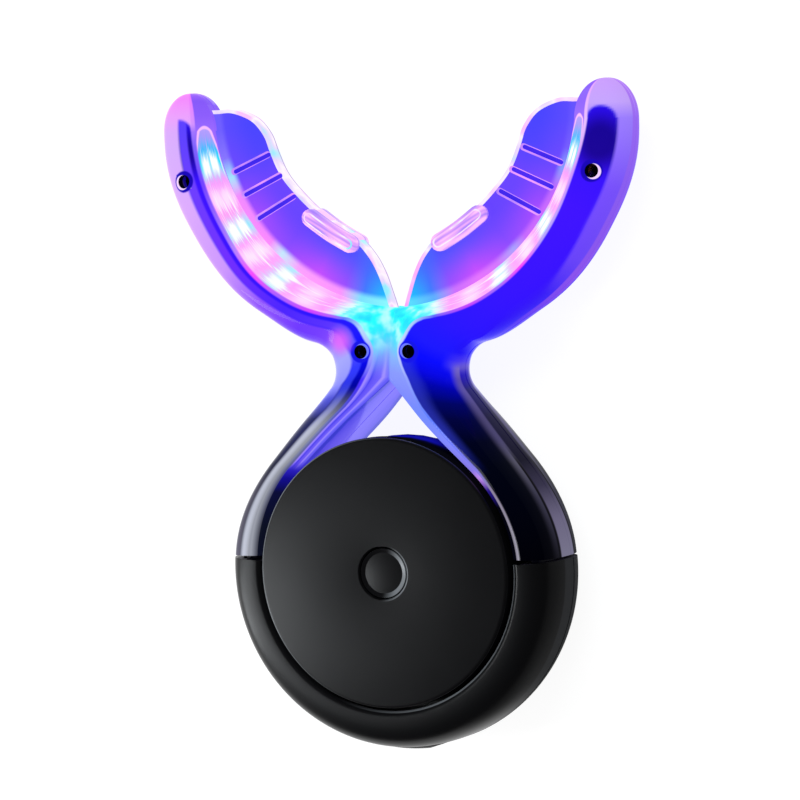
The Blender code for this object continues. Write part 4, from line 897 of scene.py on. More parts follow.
def window_glow(tree, along, stage, skin, left):
    """Painted light of the lit window wall: lengthwise streaks, and pairs of pale spots over the diodes."""
    surface = add(tree, "CombineXYZ", {"X": along, "Y": skin}).outputs["Vector"]
    drawn_out = add(tree, "VectorMath", {0: surface, 1: STREAKS}, operation="MULTIPLY").outputs["Vector"]
    streaks = add(tree, "TexNoise", {"Vector": drawn_out, "Scale": 1.0, "Detail": 3.0}).outputs["Fac"]
    ragged, wavy = (
        add(tree, "MapRange", {"Value": streaks, "To Min": -reach, "To Max": reach}).outputs["Result"]
        for reach in (0.012, 0.06)
    )
    ragged = add(tree, "Math", {0: along, 1: ragged}, operation="ADD").outputs[0]
    wavy = add(tree, "Math", {0: skin, 1: wavy}, operation="ADD").outputs[0]
    up_slope = add(tree, "MapRange", {"Value": wavy, "From Min": WALL_FOOT}).outputs["Result"]
    row_stops = [(0.0, "#000000")]
    for row, level in led_rows:
        row_stops += [(row - 2 * ROW_HALF, "#000000"), (row - ROW_HALF, level)]
        row_stops += [(row + ROW_HALF, level), (row + 2 * ROW_HALF, "#000000")]
    paint, slope, dusk, rows, pairs, tip = (
        add(tree, "ValToRGB", {"Fac": value}, stops=stops).outputs["Color"] for value, stops in (
            (ragged, by_stage(window_stops)), (up_slope, by_skin(left_slope_stops)),
            (along, by_stage(dusk_stops)), (ragged, by_stage(row_stops)), (wavy, pair_stops),
            (along, by_stage(tip_stops)),
        )
    )
    paint = layer(tree, paint, slope, left, (stage, 0.85, 1.1), (stage, 2.35, 1.95), 0.85)
    paint = layer(tree, paint, dusk, left, (stage, 1.12, 0.98))
    # Painted pale streaks of light along the wing's window
    paint = layer(
        tree, paint, "#fff0ff", (streaks, 0.56, 0.66, 0.0, 0.75), (stage, 2.9, 3.1), (stage, 3.98, 3.9)
    )
    # Painted bright and cyan patches of light at the waist
    patches, _ = grain(tree, WAIST_PATCH, 2, 0, 1)
    waist = coverage(tree, (stage, 2.2, 2.5), (stage, 3.05, 2.9))
    paint = layer(tree, paint, "#d0ffff", waist, (patches, 0.46, 0.72, 0.0, 0.8))
    paint = layer(tree, paint, "#1cc8f6", waist, (patches, 0.5, 0.3, 0.0, 0.6))
    # Each diode's light painted as a pair of pale spots
    paint = layer(tree, paint, "#ffffff", rows, pairs)
    aside = add(tree, "Math", {0: skin, 1: 0.5}, operation="SUBTRACT").outputs[0]
    bow = coverage(tree, aside, aside)
    arch = add(tree, "Math", {0: bow, 1: 0.1 * ALONG_SPAN, 2: stage}, operation="MULTIPLY_ADD").outputs[0]
    paint = layer(tree, paint, tip, (arch, 4.05, 4.07))
    return layer(tree, paint, "#f4b8ff", (arch, 4.02, 4.04), (arch, 4.08, 4.06))


def lit_core():
    """Dark blue core under the clear plastic, with painted glow: it glows along the wings and goes black
    down the arms.
    """
    finish, tree, shader = new_finish("dark_blue_core", "#05051a", 0.35)
    along = add(tree, "Attribute", attribute_name="along").outputs["Fac"]
    glow = add(tree, "ValToRGB", {"Fac": along}, stops=by_stage(core_glow_stops)).outputs["Color"]
    tree.links.new(glow, shader.inputs["Emission Color"])
    shader.inputs["Emission Strength"].default_value = 0.4
    return finish


# The bite plates by the turn along the window: their middle, and their glow beside the diodes, all painted
# glow
plate_stops = (
    (0.0, "#1878ff"), (0.12, "#3c68ff"), (0.22, "#4c50ff"), (0.5, "#6240ff"), (0.75, "#6640ff"),
    (0.88, "#4c40ff"), (1.0, "#4440ff"),
)
plate_wall_stops = (
    (0.0, "#00e0ff"), (0.08, "#10b8ff"), (0.15, "#3c78ff"), (0.23, "#a048f8"), (0.34, "#cc48ff"),
    (0.5, "#9048ff"), (0.66, "#a848ff"), (0.82, "#7044ff"), (1.0, "#5a48ff"),
)
plate_line_stops = (
    (0.0, "#a0ffff"), (0.16, "#80ecff"), (0.24, "#ff9cf4"), (0.42, "#ffa8f8"), (0.5, "#c8f8ff"),
    (0.56, "#ff90f0"), (0.76, "#f890f8"), (0.83, "#a8f4ff"), (0.9, "#8878ff"), (1.0, "#7060ff"),
)


# Painted lengthwise streaks of light on the pads, and the plates' painted lit edge, by a noise
pad_streak_stops = ((0.34, "#a880f8"), (0.5, "#e4a4ff"), (0.62, "#ffc4ff"))
rim_stops = (
    (0.3, "#ff9cf4"), (0.45, "#f8ccff"), (0.52, "#fbf0ff"), (0.6, "#e8d4ff"), (0.72, "#94ecff"),
)
PAD_STREAK_LENGTH = 6 * MM
PAD_STREAK_WIDTH = 0.7 * MM
RIM_PATCH = 5 * MM
GROOVE_PATCH = 4 * MM
# Where paint starts and is full: the painted light beside the diodes and the painted line of light along
# them by the radius about the window's centre, the pads' painted streaks and the painted light on their
# flanks by the height over the middle
DIODE_LIGHT = (WINDOW_RADIUS - 6 * MM, WINDOW_RADIUS + 0.5 * MM)
DIODE_LINE = (WINDOW_RADIUS - 1.5 * MM, WINDOW_RADIUS - 0.5 * MM)
PAD_STREAK = (PLATE_HALF + 0.1 * MM, PLATE_HALF + 0.4 * MM)
PAD_FLANK = (PLATE_HALF + 0.2 * MM, PLATE_HALF)
# The thin line on the plates' edge, from the plates' upper face on the right and lower face on the left
UPPER_LINE = ((-0.12 * MM, -0.26 * MM), (-0.5 * MM, -0.4 * MM))
LOWER_LINE = ((0.42 * MM, 0.3 * MM), (0.06 * MM, 0.16 * MM))


def silicone_places(tree):
    """Place by axis, distance from the middle plane, turn along the window and radius about its centre."""
    place = place_by_axis(tree)
    side = add(tree, "Math", {0: place["X"]}, operation="ABSOLUTE").outputs[0]
    reach_x = add(tree, "Math", {0: side, 1: WINDOW_CENTRE.x}, operation="SUBTRACT").outputs[0]
    reach_y = add(tree, "Math", {0: place["Y"], 1: WINDOW_CENTRE.y}, operation="SUBTRACT").outputs[0]
    spoke = add(tree, "CombineXYZ", {"X": reach_x, "Y": reach_y}).outputs["Vector"]
    radius = add(tree, "VectorMath", {0: spoke}, operation="LENGTH").outputs["Value"]
    angle = add(tree, "Math", {0: reach_y, 1: reach_x}, operation="ARCTAN2").outputs[0]
    turn = add(tree, "MapRange", {
        "Value": angle, "From Min": WINDOW_START_ANGLE, "From Max": WINDOW_END_ANGLE,
    }).outputs["Result"]
    return place, side, turn, radius


def lit_silicone():
    """Clear silicone full of violet light, painted in as glow: soft skin, glowing beside the diodes, cyan
    by the notch.
    """
    finish, tree, shader = new_finish("lit_clear_silicone", "#2a1c80", 0.25, Specular_IOR_Level=0.3)
    place, side, turn, radius = silicone_places(tree)
    flat = add(tree, "CombineXYZ", {"X": side, "Y": place["Y"]}).outputs["Vector"]
    pad_place = add(tree, "VectorRotate", {"Vector": flat, "Angle": -PAD_TURN}, rotation_type="Z_AXIS")
    lengthwise = add(tree, "Mapping", {
        "Vector": pad_place.outputs["Vector"], "Scale": (1 / PAD_STREAK_LENGTH, 1 / PAD_STREAK_WIDTH, 1),
    }).outputs["Vector"]
    streaks = add(tree, "TexNoise", {"Vector": lengthwise, "Scale": 1.0, "Detail": 1.0}).outputs["Fac"]
    paint, beside, line, pad_streaks = (
        add(tree, "ValToRGB", {"Fac": value}, stops=stops).outputs["Color"] for value, stops in (
            (turn, plate_stops), (turn, plate_wall_stops), (turn, plate_line_stops), (streaks, pad_streak_stops),
        )
    )
    upright = place_by_axis(tree, "Normal")["Z"]
    flatness = add(tree, "Math", {0: upright}, operation="ABSOLUTE").outputs[0]
    height = add(tree, "Math", {0: place["Z"], 1: HALF}, operation="SUBTRACT").outputs[0]
    level = add(tree, "Math", {0: height}, operation="ABSOLUTE").outputs[0]
    paint = layer(tree, paint, beside, (radius, *DIODE_LIGHT))
    paint = layer(tree, paint, line, (radius, *DIODE_LINE), (place["X"], *TO_THE_LEFT, 0.3, 0.8))
    paint = layer(tree, paint, pad_streaks, (level, *PAD_STREAK))
    # Painted pale light on the pads' flanks
    paint = layer(tree, paint, "#f0b4ff", (flatness, 0.6, 0.3), (level, *PAD_FLANK))
    painted_glow(tree, shader, paint, 0.9)
    return finish


def lit_rim():
    """Edge of the silicone, where the light comes out, painted in: white, with pink and pale cyan lengths.
    """
    finish, tree, shader = new_finish("lit_silicone_edge", "#f8e0ff", 0.25, Specular_IOR_Level=0.3)
    tint, _ = grain(tree, RIM_PATCH, 2, 0, 1)
    paint = add(tree, "ValToRGB", {"Fac": tint}, stops=rim_stops).outputs["Color"]
    place = place_by_axis(tree)
    upper, lower = (
        coverage(tree, *((place["Z"], face + start, face + full) for start, full in line))
        for face, line in ((HALF + PLATE_HALF, UPPER_LINE), (HALF - PLATE_HALF, LOWER_LINE))
    )
    left = coverage(tree, (place["X"], *TO_THE_LEFT))
    outline = add(tree, "Mix", {"Factor": left, "A": upper, "B": lower}).outputs["Result"]
    painted_glow(tree, shader, layer(tree, paint, "#a898c4", outline), 0.92, 0.1)
    return finish


def lit_groove(name, cool, warm):
    """Grip grooves: painted shade of deeper blue than the plate on their floor, and painted light on their
    pale sides.
    """
    finish, tree, shader = new_finish(name, cool, 0.3, Specular_IOR_Level=0.3)
    tint, _ = grain(tree, GROOVE_PATCH, 2, 0, 1)
    paint = add(tree, "ValToRGB", {"Fac": tint}, stops=((0.35, cool), (0.65, warm))).outputs["Color"]
    painted_glow(tree, shader, paint, 0.9)
    return finish


class LampSizes(bpy.types.PropertyGroup):
    ridge_round: FloatProperty(
        name="Ridge rounding", description="Rounding of the ridge over the windows",
        default=0.45 * MM, min=0.0, unit="LENGTH",
    )
    cover_edge: FloatProperty(
        name="Cover edge", description="Rounding of the front cover's rim",
        default=0.4 * MM, min=0.0, unit="LENGTH",
    )
    rear_edge: FloatProperty(
        name="Rear cover edge", description="Rounding of the rear cover's rim",
        default=1.1 * MM, min=0.0, unit="LENGTH",
    )
    clear_band: FloatProperty(
        name="Clear band", description="Clear wall outside the core of a wing",
        default=1.4 * MM, min=0.0, unit="LENGTH",
    )
    plate_edge: FloatProperty(
        name="Plate edge", description="Rounding of the bite plates' edge",
        default=0.45 * MM, min=0.0, unit="LENGTH",
    )
    groove_width: FloatProperty(
        name="Groove width", description="Width of the grip grooves", default=0.92 * MM, unit="LENGTH",
    )
    groove_depth: FloatProperty(
        name="Groove depth", description="Depth of the grip grooves", default=0.4 * MM, unit="LENGTH",
    )
    pad_width: FloatProperty(
        name="Pad width", description="Width of the raised pads", default=2.3 * MM, unit="LENGTH",
    )
    pad_height: FloatProperty(
        name="Pad height", description="Height of the pads over the plates",
        default=1.3 * MM, min=0.0, unit="LENGTH",
    )


class LampColours(bpy.types.PropertyGroup):
    black: FloatVectorProperty(
        name="Black plastic", description="Matt black of the puck", subtype="COLOR",
        default=linear(PUCK_BLACK), min=0, max=1,
    )
    rubber: FloatVectorProperty(
        name="Black rubber", description="Plug over the charging port", subtype="COLOR",
        default=linear("#0f0f10"), min=0, max=1,
    )


# Camera as fitted to the photograph, in metres
CAMERA_PLACE = Vector((0.2286, 0.0557, 0.483))
CAMERA_RIGHT = Vector((0.9009, -0.0322, -0.4327))
CAMERA_UP = Vector((0.0011, 0.9974, -0.0720))
CAMERA_BACK = Vector((0.4339, 0.0644, 0.8986))
CAMERA_LENS = 183.5
# Soft boxes by name: place, size, power in watts, and whether gloss shows them
softboxes = (
    ("left_softbox", (-0.115, -0.03, 0.095), (0.03, 0.11), 0.11, True),
    ("top_softbox", (0.05, 0.3, 0.4), (0.3, 0.15), 1.0, False),
)
LIGHT_AIM = Vector((0, 0.01, 0.01))
LIGHT_TINT = (0.93, 0.97, 1)
SKY_LIGHT = 0.55
# Sideways direction where the sky's gloss starts to fade and has faded, and how bright it is there
SKY_GLOSS = (-0.98, -0.55, 1.0, 0.03)
# White card: half its width, how bright its patches are, and where to the right it dims in gloss
FLOOR_HALF = 3
FLOOR_PATCH = 40 * MM
FLOOR_LIFT = (0.9, 0.915)
FLOOR_DIMMING = (4 * MM, 20 * MM, 1.0, 0.06)


class LAMP_OT_stage(bpy.types.Operator):
    """Set the camera at the photograph's angle, soft studio light and a white floor"""

    bl_idname = "lamp.stage"
    bl_label = "Camera, light and floor"

    def execute(self, context):
        self.camera(context)
        self.world(context)
        for softbox in softboxes:
            self.softbox(context, *softbox)
        self.floor(context)
        return {"FINISHED"}

    def camera(self, context):
        """The fitted camera, and plain colours without a film look."""
        data = bpy.data.cameras.new("photo_camera")
        data.sensor_width = 36
        data.lens = CAMERA_LENS
        data.clip_end = 20
        camera = bpy.data.objects.new("photo_camera", data)
        context.collection.objects.link(camera)
        turn = Matrix((CAMERA_RIGHT, CAMERA_UP, CAMERA_BACK)).transposed().to_4x4()
        camera.matrix_world = Matrix.Translation(CAMERA_PLACE) @ turn
        context.scene.camera = camera
        context.scene.view_settings.view_transform = "Standard"

    def world(self, context):
        """White to the camera and through clear parts, white at the far left in gloss, grey as light."""
        world = bpy.data.worlds.new("studio")
        context.scene.world = world
        world.use_nodes = True
        tree = world.node_tree
        tree.nodes.clear()
        rays = add(tree, "LightPath").outputs
        sideways = place_by_axis(tree, "Generated")["X"]
        gloss = coverage(tree, rays["Is Glossy Ray"], (sideways, *SKY_GLOSS))
        light = coverage(tree, rays["Is Diffuse Ray"], SKY_LIGHT)
        unseen = add(tree, "Math", {0: gloss, 1: light}, operation="ADD").outputs[0]
        seen = self.seen(tree, rays)
        strength = add(tree, "Math", {0: seen, 1: unseen}, operation="MAXIMUM").outputs[0]
        sky = add(tree, "Background", {"Color": (1, 1, 1, 1), "Strength": strength})
        out = add(tree, "OutputWorld")
        tree.links.new(sky.outputs["Background"], out.inputs["Surface"])

    def seen(self, tree, rays):
        """1 for what the camera sees, by itself or through something clear."""
        through = rays["Is Transmission Ray"]
        return add(tree, "Math", {0: rays["Is Camera Ray"], 1: through}, operation="MAXIMUM").outputs[0]

    def softbox(self, context, name, place, size, power, in_gloss):
        """A rectangular soft light that looks at the lamp."""
        data = bpy.data.lights.new(name, "AREA")
        data.shape = "RECTANGLE"
        data.size, data.size_y = size
        data.energy = power
        data.color = LIGHT_TINT
        light = bpy.data.objects.new(name, data)
        context.collection.objects.link(light)
        light.location = place
        light.visible_glossy = in_gloss
        light.rotation_mode = "QUATERNION"
        light.rotation_quaternion = (LIGHT_AIM - Vector(place)).to_track_quat("-Z", "Y")

    def floor(self, context):
        """Smooth white card: white to the camera, dim in gloss from the right, with a soft shadow."""
        finish, tree, shader = new_finish("white_card", "#747474", 0.9)
        rays = add(tree, "LightPath").outputs
        seen = self.seen(tree, rays)
        shown = add(tree, "Math", {0: seen, 1: rays["Is Glossy Ray"]}, operation="MAXIMUM").outputs[0]
        _, lift = grain(tree, FLOOR_PATCH, 1, *FLOOR_LIFT)
        glossy_across = coverage(tree, place_by_axis(tree)["X"], rays["Is Glossy Ray"])
        level = coverage(tree, shown, lift, (glossy_across, *FLOOR_DIMMING))
        shader.inputs["Emission Color"].default_value = (1, 1, 1, 1)
        tree.links.new(level, shader.inputs["Emission Strength"])
        bm = bmesh.new()
        bmesh.ops.create_grid(bm, x_segments=1, y_segments=1, size=FLOOR_HALF)
        mesh = bpy.data.meshes.new("white_floor")
        bm.to_mesh(mesh)
        bm.free()
        floor = bpy.data.objects.new("white_floor", mesh)
        floor.data.materials.append(finish)
        context.collection.objects.link(floor)


def cover_outline(radius, edge, inset):
    """Rim, underside and lip of a cover, from its rim's corner, as (radius, height)."""
    lip_outer = DRUM_RADIUS - DRUM_WALL - GAP - inset
    lip_inner = lip_outer - COVER_LIP_WALL
    underside = HALF - COVER_PLATE
    foot = HALF - COVER_RIM_DEPTH
    corner = rounded_corner((radius, foot), (radius, HALF), (0, HALF), edge, 6)
    under = [
        (lip_inner, underside), (lip_inner, foot - COVER_LIP_DEPTH), (lip_outer, foot - COVER_LIP_DEPTH),
        (lip_outer, foot), (radius, foot),
    ]
    return corner, under, underside


class LAMP_OT_covers(bpy.types.Operator):
    """Turn the front and rear covers of the puck, with rounded rims and the button's well"""

    bl_idname = "lamp.covers"
    bl_label = "Covers"

    def execute(self, context):
        sizes = context.scene.lamp_sizes
        colour = context.scene.lamp_colours.black
        # Painted highlights on the cover's rim at the left and on the well's mouth at the right, the sides
        # the light meets
        black = moulded_black("spark_eroded_black_abs", colour, 0.31, highlight_rings=(COVER_HIGHLIGHT, WELL_HIGHLIGHT))
        corner, under, underside = cover_outline(COVER_RADIUS, sizes.cover_edge, 0)
        foot = (WELL_THROAT, HALF - GAP)
        mouth = rounded_corner((0, HALF), (WELL_RADIUS, HALF), foot, WELL_EDGE, 3)[1:]
        well = [(WELL_RADIUS + WELL_EDGE, HALF), *mouth]
        well += [(WELL_THROAT, HALF - WELL_DEPTH), (WELL_THROAT, underside)]
        # A copy of the black without gloss for the faces below the rim's rounding: painted shade in the
        # groove and under the cover
        shade, _, _ = new_finish("black_abs_painted_shade", PUCK_BLACK, 0.8, Specular_IOR_Level=0.0)
        bm = turned(corner + well + under)
        for face in bm.faces:
            face.material_index = int(face.calc_center_median().z < HALF - sizes.cover_edge)
        front = finished("front_cover_smooth", bm, (black, shade))
        carried(front, "matte_black_plastic", "front_cover")
        inset = COVER_RADIUS - REAR_COVER_RADIUS
        corner, under, underside = cover_outline(REAR_COVER_RADIUS, sizes.rear_edge, inset)
        bm = mirrored(turned(corner + [(0, HALF), (0, underside)] + under), "Z")
        rear = finished("rear_cover_smooth", bm, black)
        carried(rear, "matte_black_plastic", "rear_cover")
        return {"FINISHED"}


class LAMP_OT_button(bpy.types.Operator):
    """Turn the power button: a sloped border round a shallow face"""

    bl_idname = "lamp.button"
    bl_label = "Power button"

    def execute(self, context):
        # Painted highlight on the button's sloped border, on the side the light meets
        black = moulded_black(
            "satin_black_button", context.scene.lamp_colours.black, 0.29, depth=0.006 * MM,
            highlight_rings=(BUTTON_HIGHLIGHT,),
        )
        low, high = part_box("power_button")
        top = high.z - HALF
        foot = low.z - HALF
        flange_top = HALF - COVER_PLATE - GAP
        flange_foot = flange_top - BUTTON_FLANGE
        floor = top - BUTTON_DIP
        face = [(BUTTON_FACE * i / 8, floor + BUTTON_CROWN * (1 - (i / 8) ** 2)) for i in range(9)]
        border = rounded_corner(face[-1], (BUTTON_RADIUS, top), (BUTTON_RADIUS, 0), BUTTON_EDGE, 3)
        profile = face + border + [
            (BUTTON_RADIUS, flange_top), (high.x, flange_top), (high.x, flange_foot),
            (BUTTON_STEM, flange_foot), (BUTTON_STEM, foot), (0, foot),
        ]
        button = finished("power_button_smooth", turned(profile, 96), black, 20)
        carried(button, "matte_black_plastic", "power_button", body="button")
        return {"FINISHED"}


class LAMP_OT_base_shells(bpy.types.Operator):
    """Turn the two black shells that close the ring below the seam"""

    bl_idname = "lamp.base_shells"
    bl_label = "Black ring shells"

    def execute(self, context):
        # Painted highlight on the ring's inner edge at the right and bottom, and on that side a painted
        # dark parting line with a paler painted highlight under it
        black = moulded_black(
            "spark_eroded_black_ring", context.scene.lamp_colours.black, 0.32,
            highlight_rings=(RING_HIGHLIGHT,), has_rim=True,
        )
        seam = math.asin((SEAM_Y - GAP) / SHELL_RADIUS)
        low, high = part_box("port_plug")
        recess = Vector((high.x + GAP, SHELL_RADIUS + OVERRUN, (high.z - low.z) / 2 + GAP))
        port = Vector((PORT_HALF_WIDTH + GAP, SHELL_RADIUS + OVERRUN, PORT_HALF_HEIGHT + GAP))
        for side, name in ((1, "front"), (-1, "rear")):
            outline = self.skin(side, 0, 24) + self.skin(side, SHELL_WALL, 16)[::-1]
            bm = turned(outline, 140, math.pi + 2 * seam)
            turn = Matrix.Rotation(math.pi - seam, 3, "Z")
            bmesh.ops.rotate(bm, cent=(0, 0, 0), matrix=turn, verts=bm.verts)
            if side < 0:
                mirrored(bm, "Z")
            shell = finished(f"base_shell_{name}_smooth", bm, black)
            carve(shell, block(-port, (port.x, -SHELL_BORE + OVERRUN, port.z)))
            carve(shell, block(-recess, (recess.x, -SHELL_RADIUS + PLUG_SEAT + GAP, recess.z)))
            carried(shell, "matte_black_plastic", f"base_shell_{name}")
        return {"FINISHED"}

    def skin(self, side, wall, steps):
        """Outline of the ring's outside, or of its hollow a wall further in, as (radius, height)."""
        rim = SHELL_RIM - wall
        section = half_section(
            start=wall, foot=rim - SHELL_BAND, band=wall + SHELL_BAND, rim=rim,
            width=SHELL_RADIUS - SHELL_BORE - wall, crest=0,
            power=SHELL_SQUARENESS if side > 0 else SHELL_REAR_SQUARENESS,
            share=1 if side > 0 else SHELL_REAR_SHARE, ridge_round=0 if wall else SHELL_EDGE, steps=steps,
        )
        outline = [(SHELL_BORE + distance, height) for distance, height, _ in section]
        if side > 0 and not wall:
            outline[1:1] = [
                (SHELL_BORE, LEDGE_LOW), (LEDGE_RADIUS, LEDGE_LOW), (LEDGE_RADIUS, LEDGE_TOP),
                (SHELL_BORE, LEDGE_TOP),
            ]
        return outline


class LAMP_OT_clear_shells(bpy.types.Operator):
    """Sweep the clear arms and wings as hollow walls with solid, rounded tips"""

    bl_idname = "lamp.clear_shells"
    bl_label = "Clear arms and wings"

    def execute(self, context):
        sizes = context.scene.lamp_sizes
        clear = clear_plastic()
        for side, name in ((1, "front"), (-1, "rear")):
            rings = [self.wall(stage, side, sizes) for stage in stages(0, 4, SHELL_STEP)]
            rings += self.tip(side, sizes)
            bm = both_arms(closed_rings(rings))
            if side < 0:
                mirrored(bm, "Z")
            shell = finished(f"clear_shell_{name}_smooth", bm, clear, SHARP_CLEAR)
            if side > 0:
                for x, y in (WAIST_PIN, WING_PIN):
                    for turn in (1, -1):
                        carve(shell, rod(PIN_HOLE, 0, 2 * HALF, (x * turn, y)), sharp=SHARP_CLEAR)
            carried(shell, "clear_blue_lit_plastic", f"clear_shell_{name}")
        return {"FINISHED"}

    def wall(self, stage, side, sizes):
        """Ring of the shell's wall, its skin and then its inner side."""
        inner, outer = rib_ends(stage)
        low = low_edge(stage)
        skin = half_section(**profile_at(stage, side), low=low, ridge_round=sizes.ridge_round)
        hollow = hollow_profile(stage, side)
        inside = half_section(**{**hollow, "foot": max(hollow["foot"], low)}, low=low)
        clear = sizes.clear_band * smoothstep(*CLEAR_STAGES, stage)
        width = (outer - inner).length
        outline = []
        for distance, height, mark in skin:
            covered = smoothstep(clear - INSERT_START, clear + INSERT_FULL, width - distance)
            outline.append((distance, height, mark, covered))
        outline += [(distance, height, mark + INSIDE, 1) for distance, height, mark in reversed(inside)]
        return inner, outer, stage, outline

    def tip(self, side, sizes):
        """Rings of the solid end of the wing, with the rounded end of the core showing in it."""
        inner, outer = rib_ends(4)
        profile = profile_at(4, side)
        middle = between(inner, outer, 0.5)
        half = (outer - inner) / 2
        forward = Vector((-half.y, half.x)).normalized() * TIP_LENGTH
        core_end = profile["width"] - sizes.clear_band
        core_middle = (profile["band"] + core_end) / 2 - half.length
        core_half = (core_end - profile["band"]) / 2
        rings = []
        for degrees in tip_degrees:
            turn = math.radians(degrees)
            share = math.cos(turn)
            lower = {key: profile[key] * share**TIP_FALL for key in ("foot", "rim", "crest")}
            narrower = {key: profile[key] * share for key in ("band", "width")}
            skin = half_section(
                **{**profile, **lower, **narrower}, ridge_round=sizes.ridge_round * share
            )
            place = middle + forward * math.sin(turn)
            ahead = TIP_LENGTH * math.sin(turn) / TIP_CORE_LENGTH
            outline = []
            for distance, height, mark in skin:
                aside = (distance - half.length * share - core_middle) / core_half
                reach = math.hypot(aside, ahead)
                outline.append((distance, height, mark, 1 - smoothstep(*TIP_CORE_FADE, reach)))
            outline += [(distance, PARTING, mark, 0) for distance, _, mark in reversed(skin)]
            stage = 4 + 0.5 * math.sin(turn)
            rings.append((place - half * share, place + half * share, stage, outline))
        return rings


class LAMP_OT_arm_cores(bpy.types.Operator):
    """Sweep the dark cores that fill the arms and wings"""

    bl_idname = "lamp.arm_cores"
    bl_label = "Arm cores"

    def execute(self, context):
        core = lit_core()
        rings = []
        for stage in stages(*CORE_REACH, CORE_STEP):
            outline = self.half(stage, 1)
            for distance, height, mark in reversed(self.half(stage, -1)[:-1]):
                outline.append((distance, -height, mark))
            rings.append((*rib_ends(stage), stage, [(*point, 1) for point in outline]))
        for turn, arm in ((1, "right"), (-1, "left")):
            bm = closed_rings(rings)
            if turn < 0:
                mirrored(bm, "X")
            piece = finished(f"arm_core_{arm}_smooth", bm, core, SHARP_CORE)
            for x, y in (WAIST_PIN, WING_PIN):
                carve(piece, rod(PIN_HOLE, -2 * HALF, 2 * HALF, (x * turn, y)), sharp=SHARP_CORE)
            carried(piece, "dark_core_plastic", f"arm_core_{arm}")
        return {"FINISHED"}

    def half(self, stage, side, steps=14):
        """Half of the core's section, a little inside the shell's hollow."""
        hollow = hollow_profile(stage, side)
        depth = LIGHT_BAY * eased(stage, core_depth_shares)
        depth = max(depth, (SHELL_WALL + 2.5 * GAP) * slant(stage))
        band = hollow["band"]
        rim = hollow["rim"] - CORE_CLEARANCE
        width = hollow["width"] - CORE_CLEARANCE
        power = hollow["power"]
        first = max(depth + CORE_START, band)
        start = math.asin(min((first - band) / (width - band), 1) ** (power / 2))
        points = []
        for i in range(steps + 1):
            turn = start + (math.pi / 2 - start) * i / steps
            along = band + (width - band) * math.sin(turn) ** (2 / power)
            height = rim * max(math.cos(turn), 0) ** (2 / power)
            points.append((along, height * hollow["share"] if i < steps else 0, 1 + i / steps))
        return [(depth, points[0][1], 1)] + points


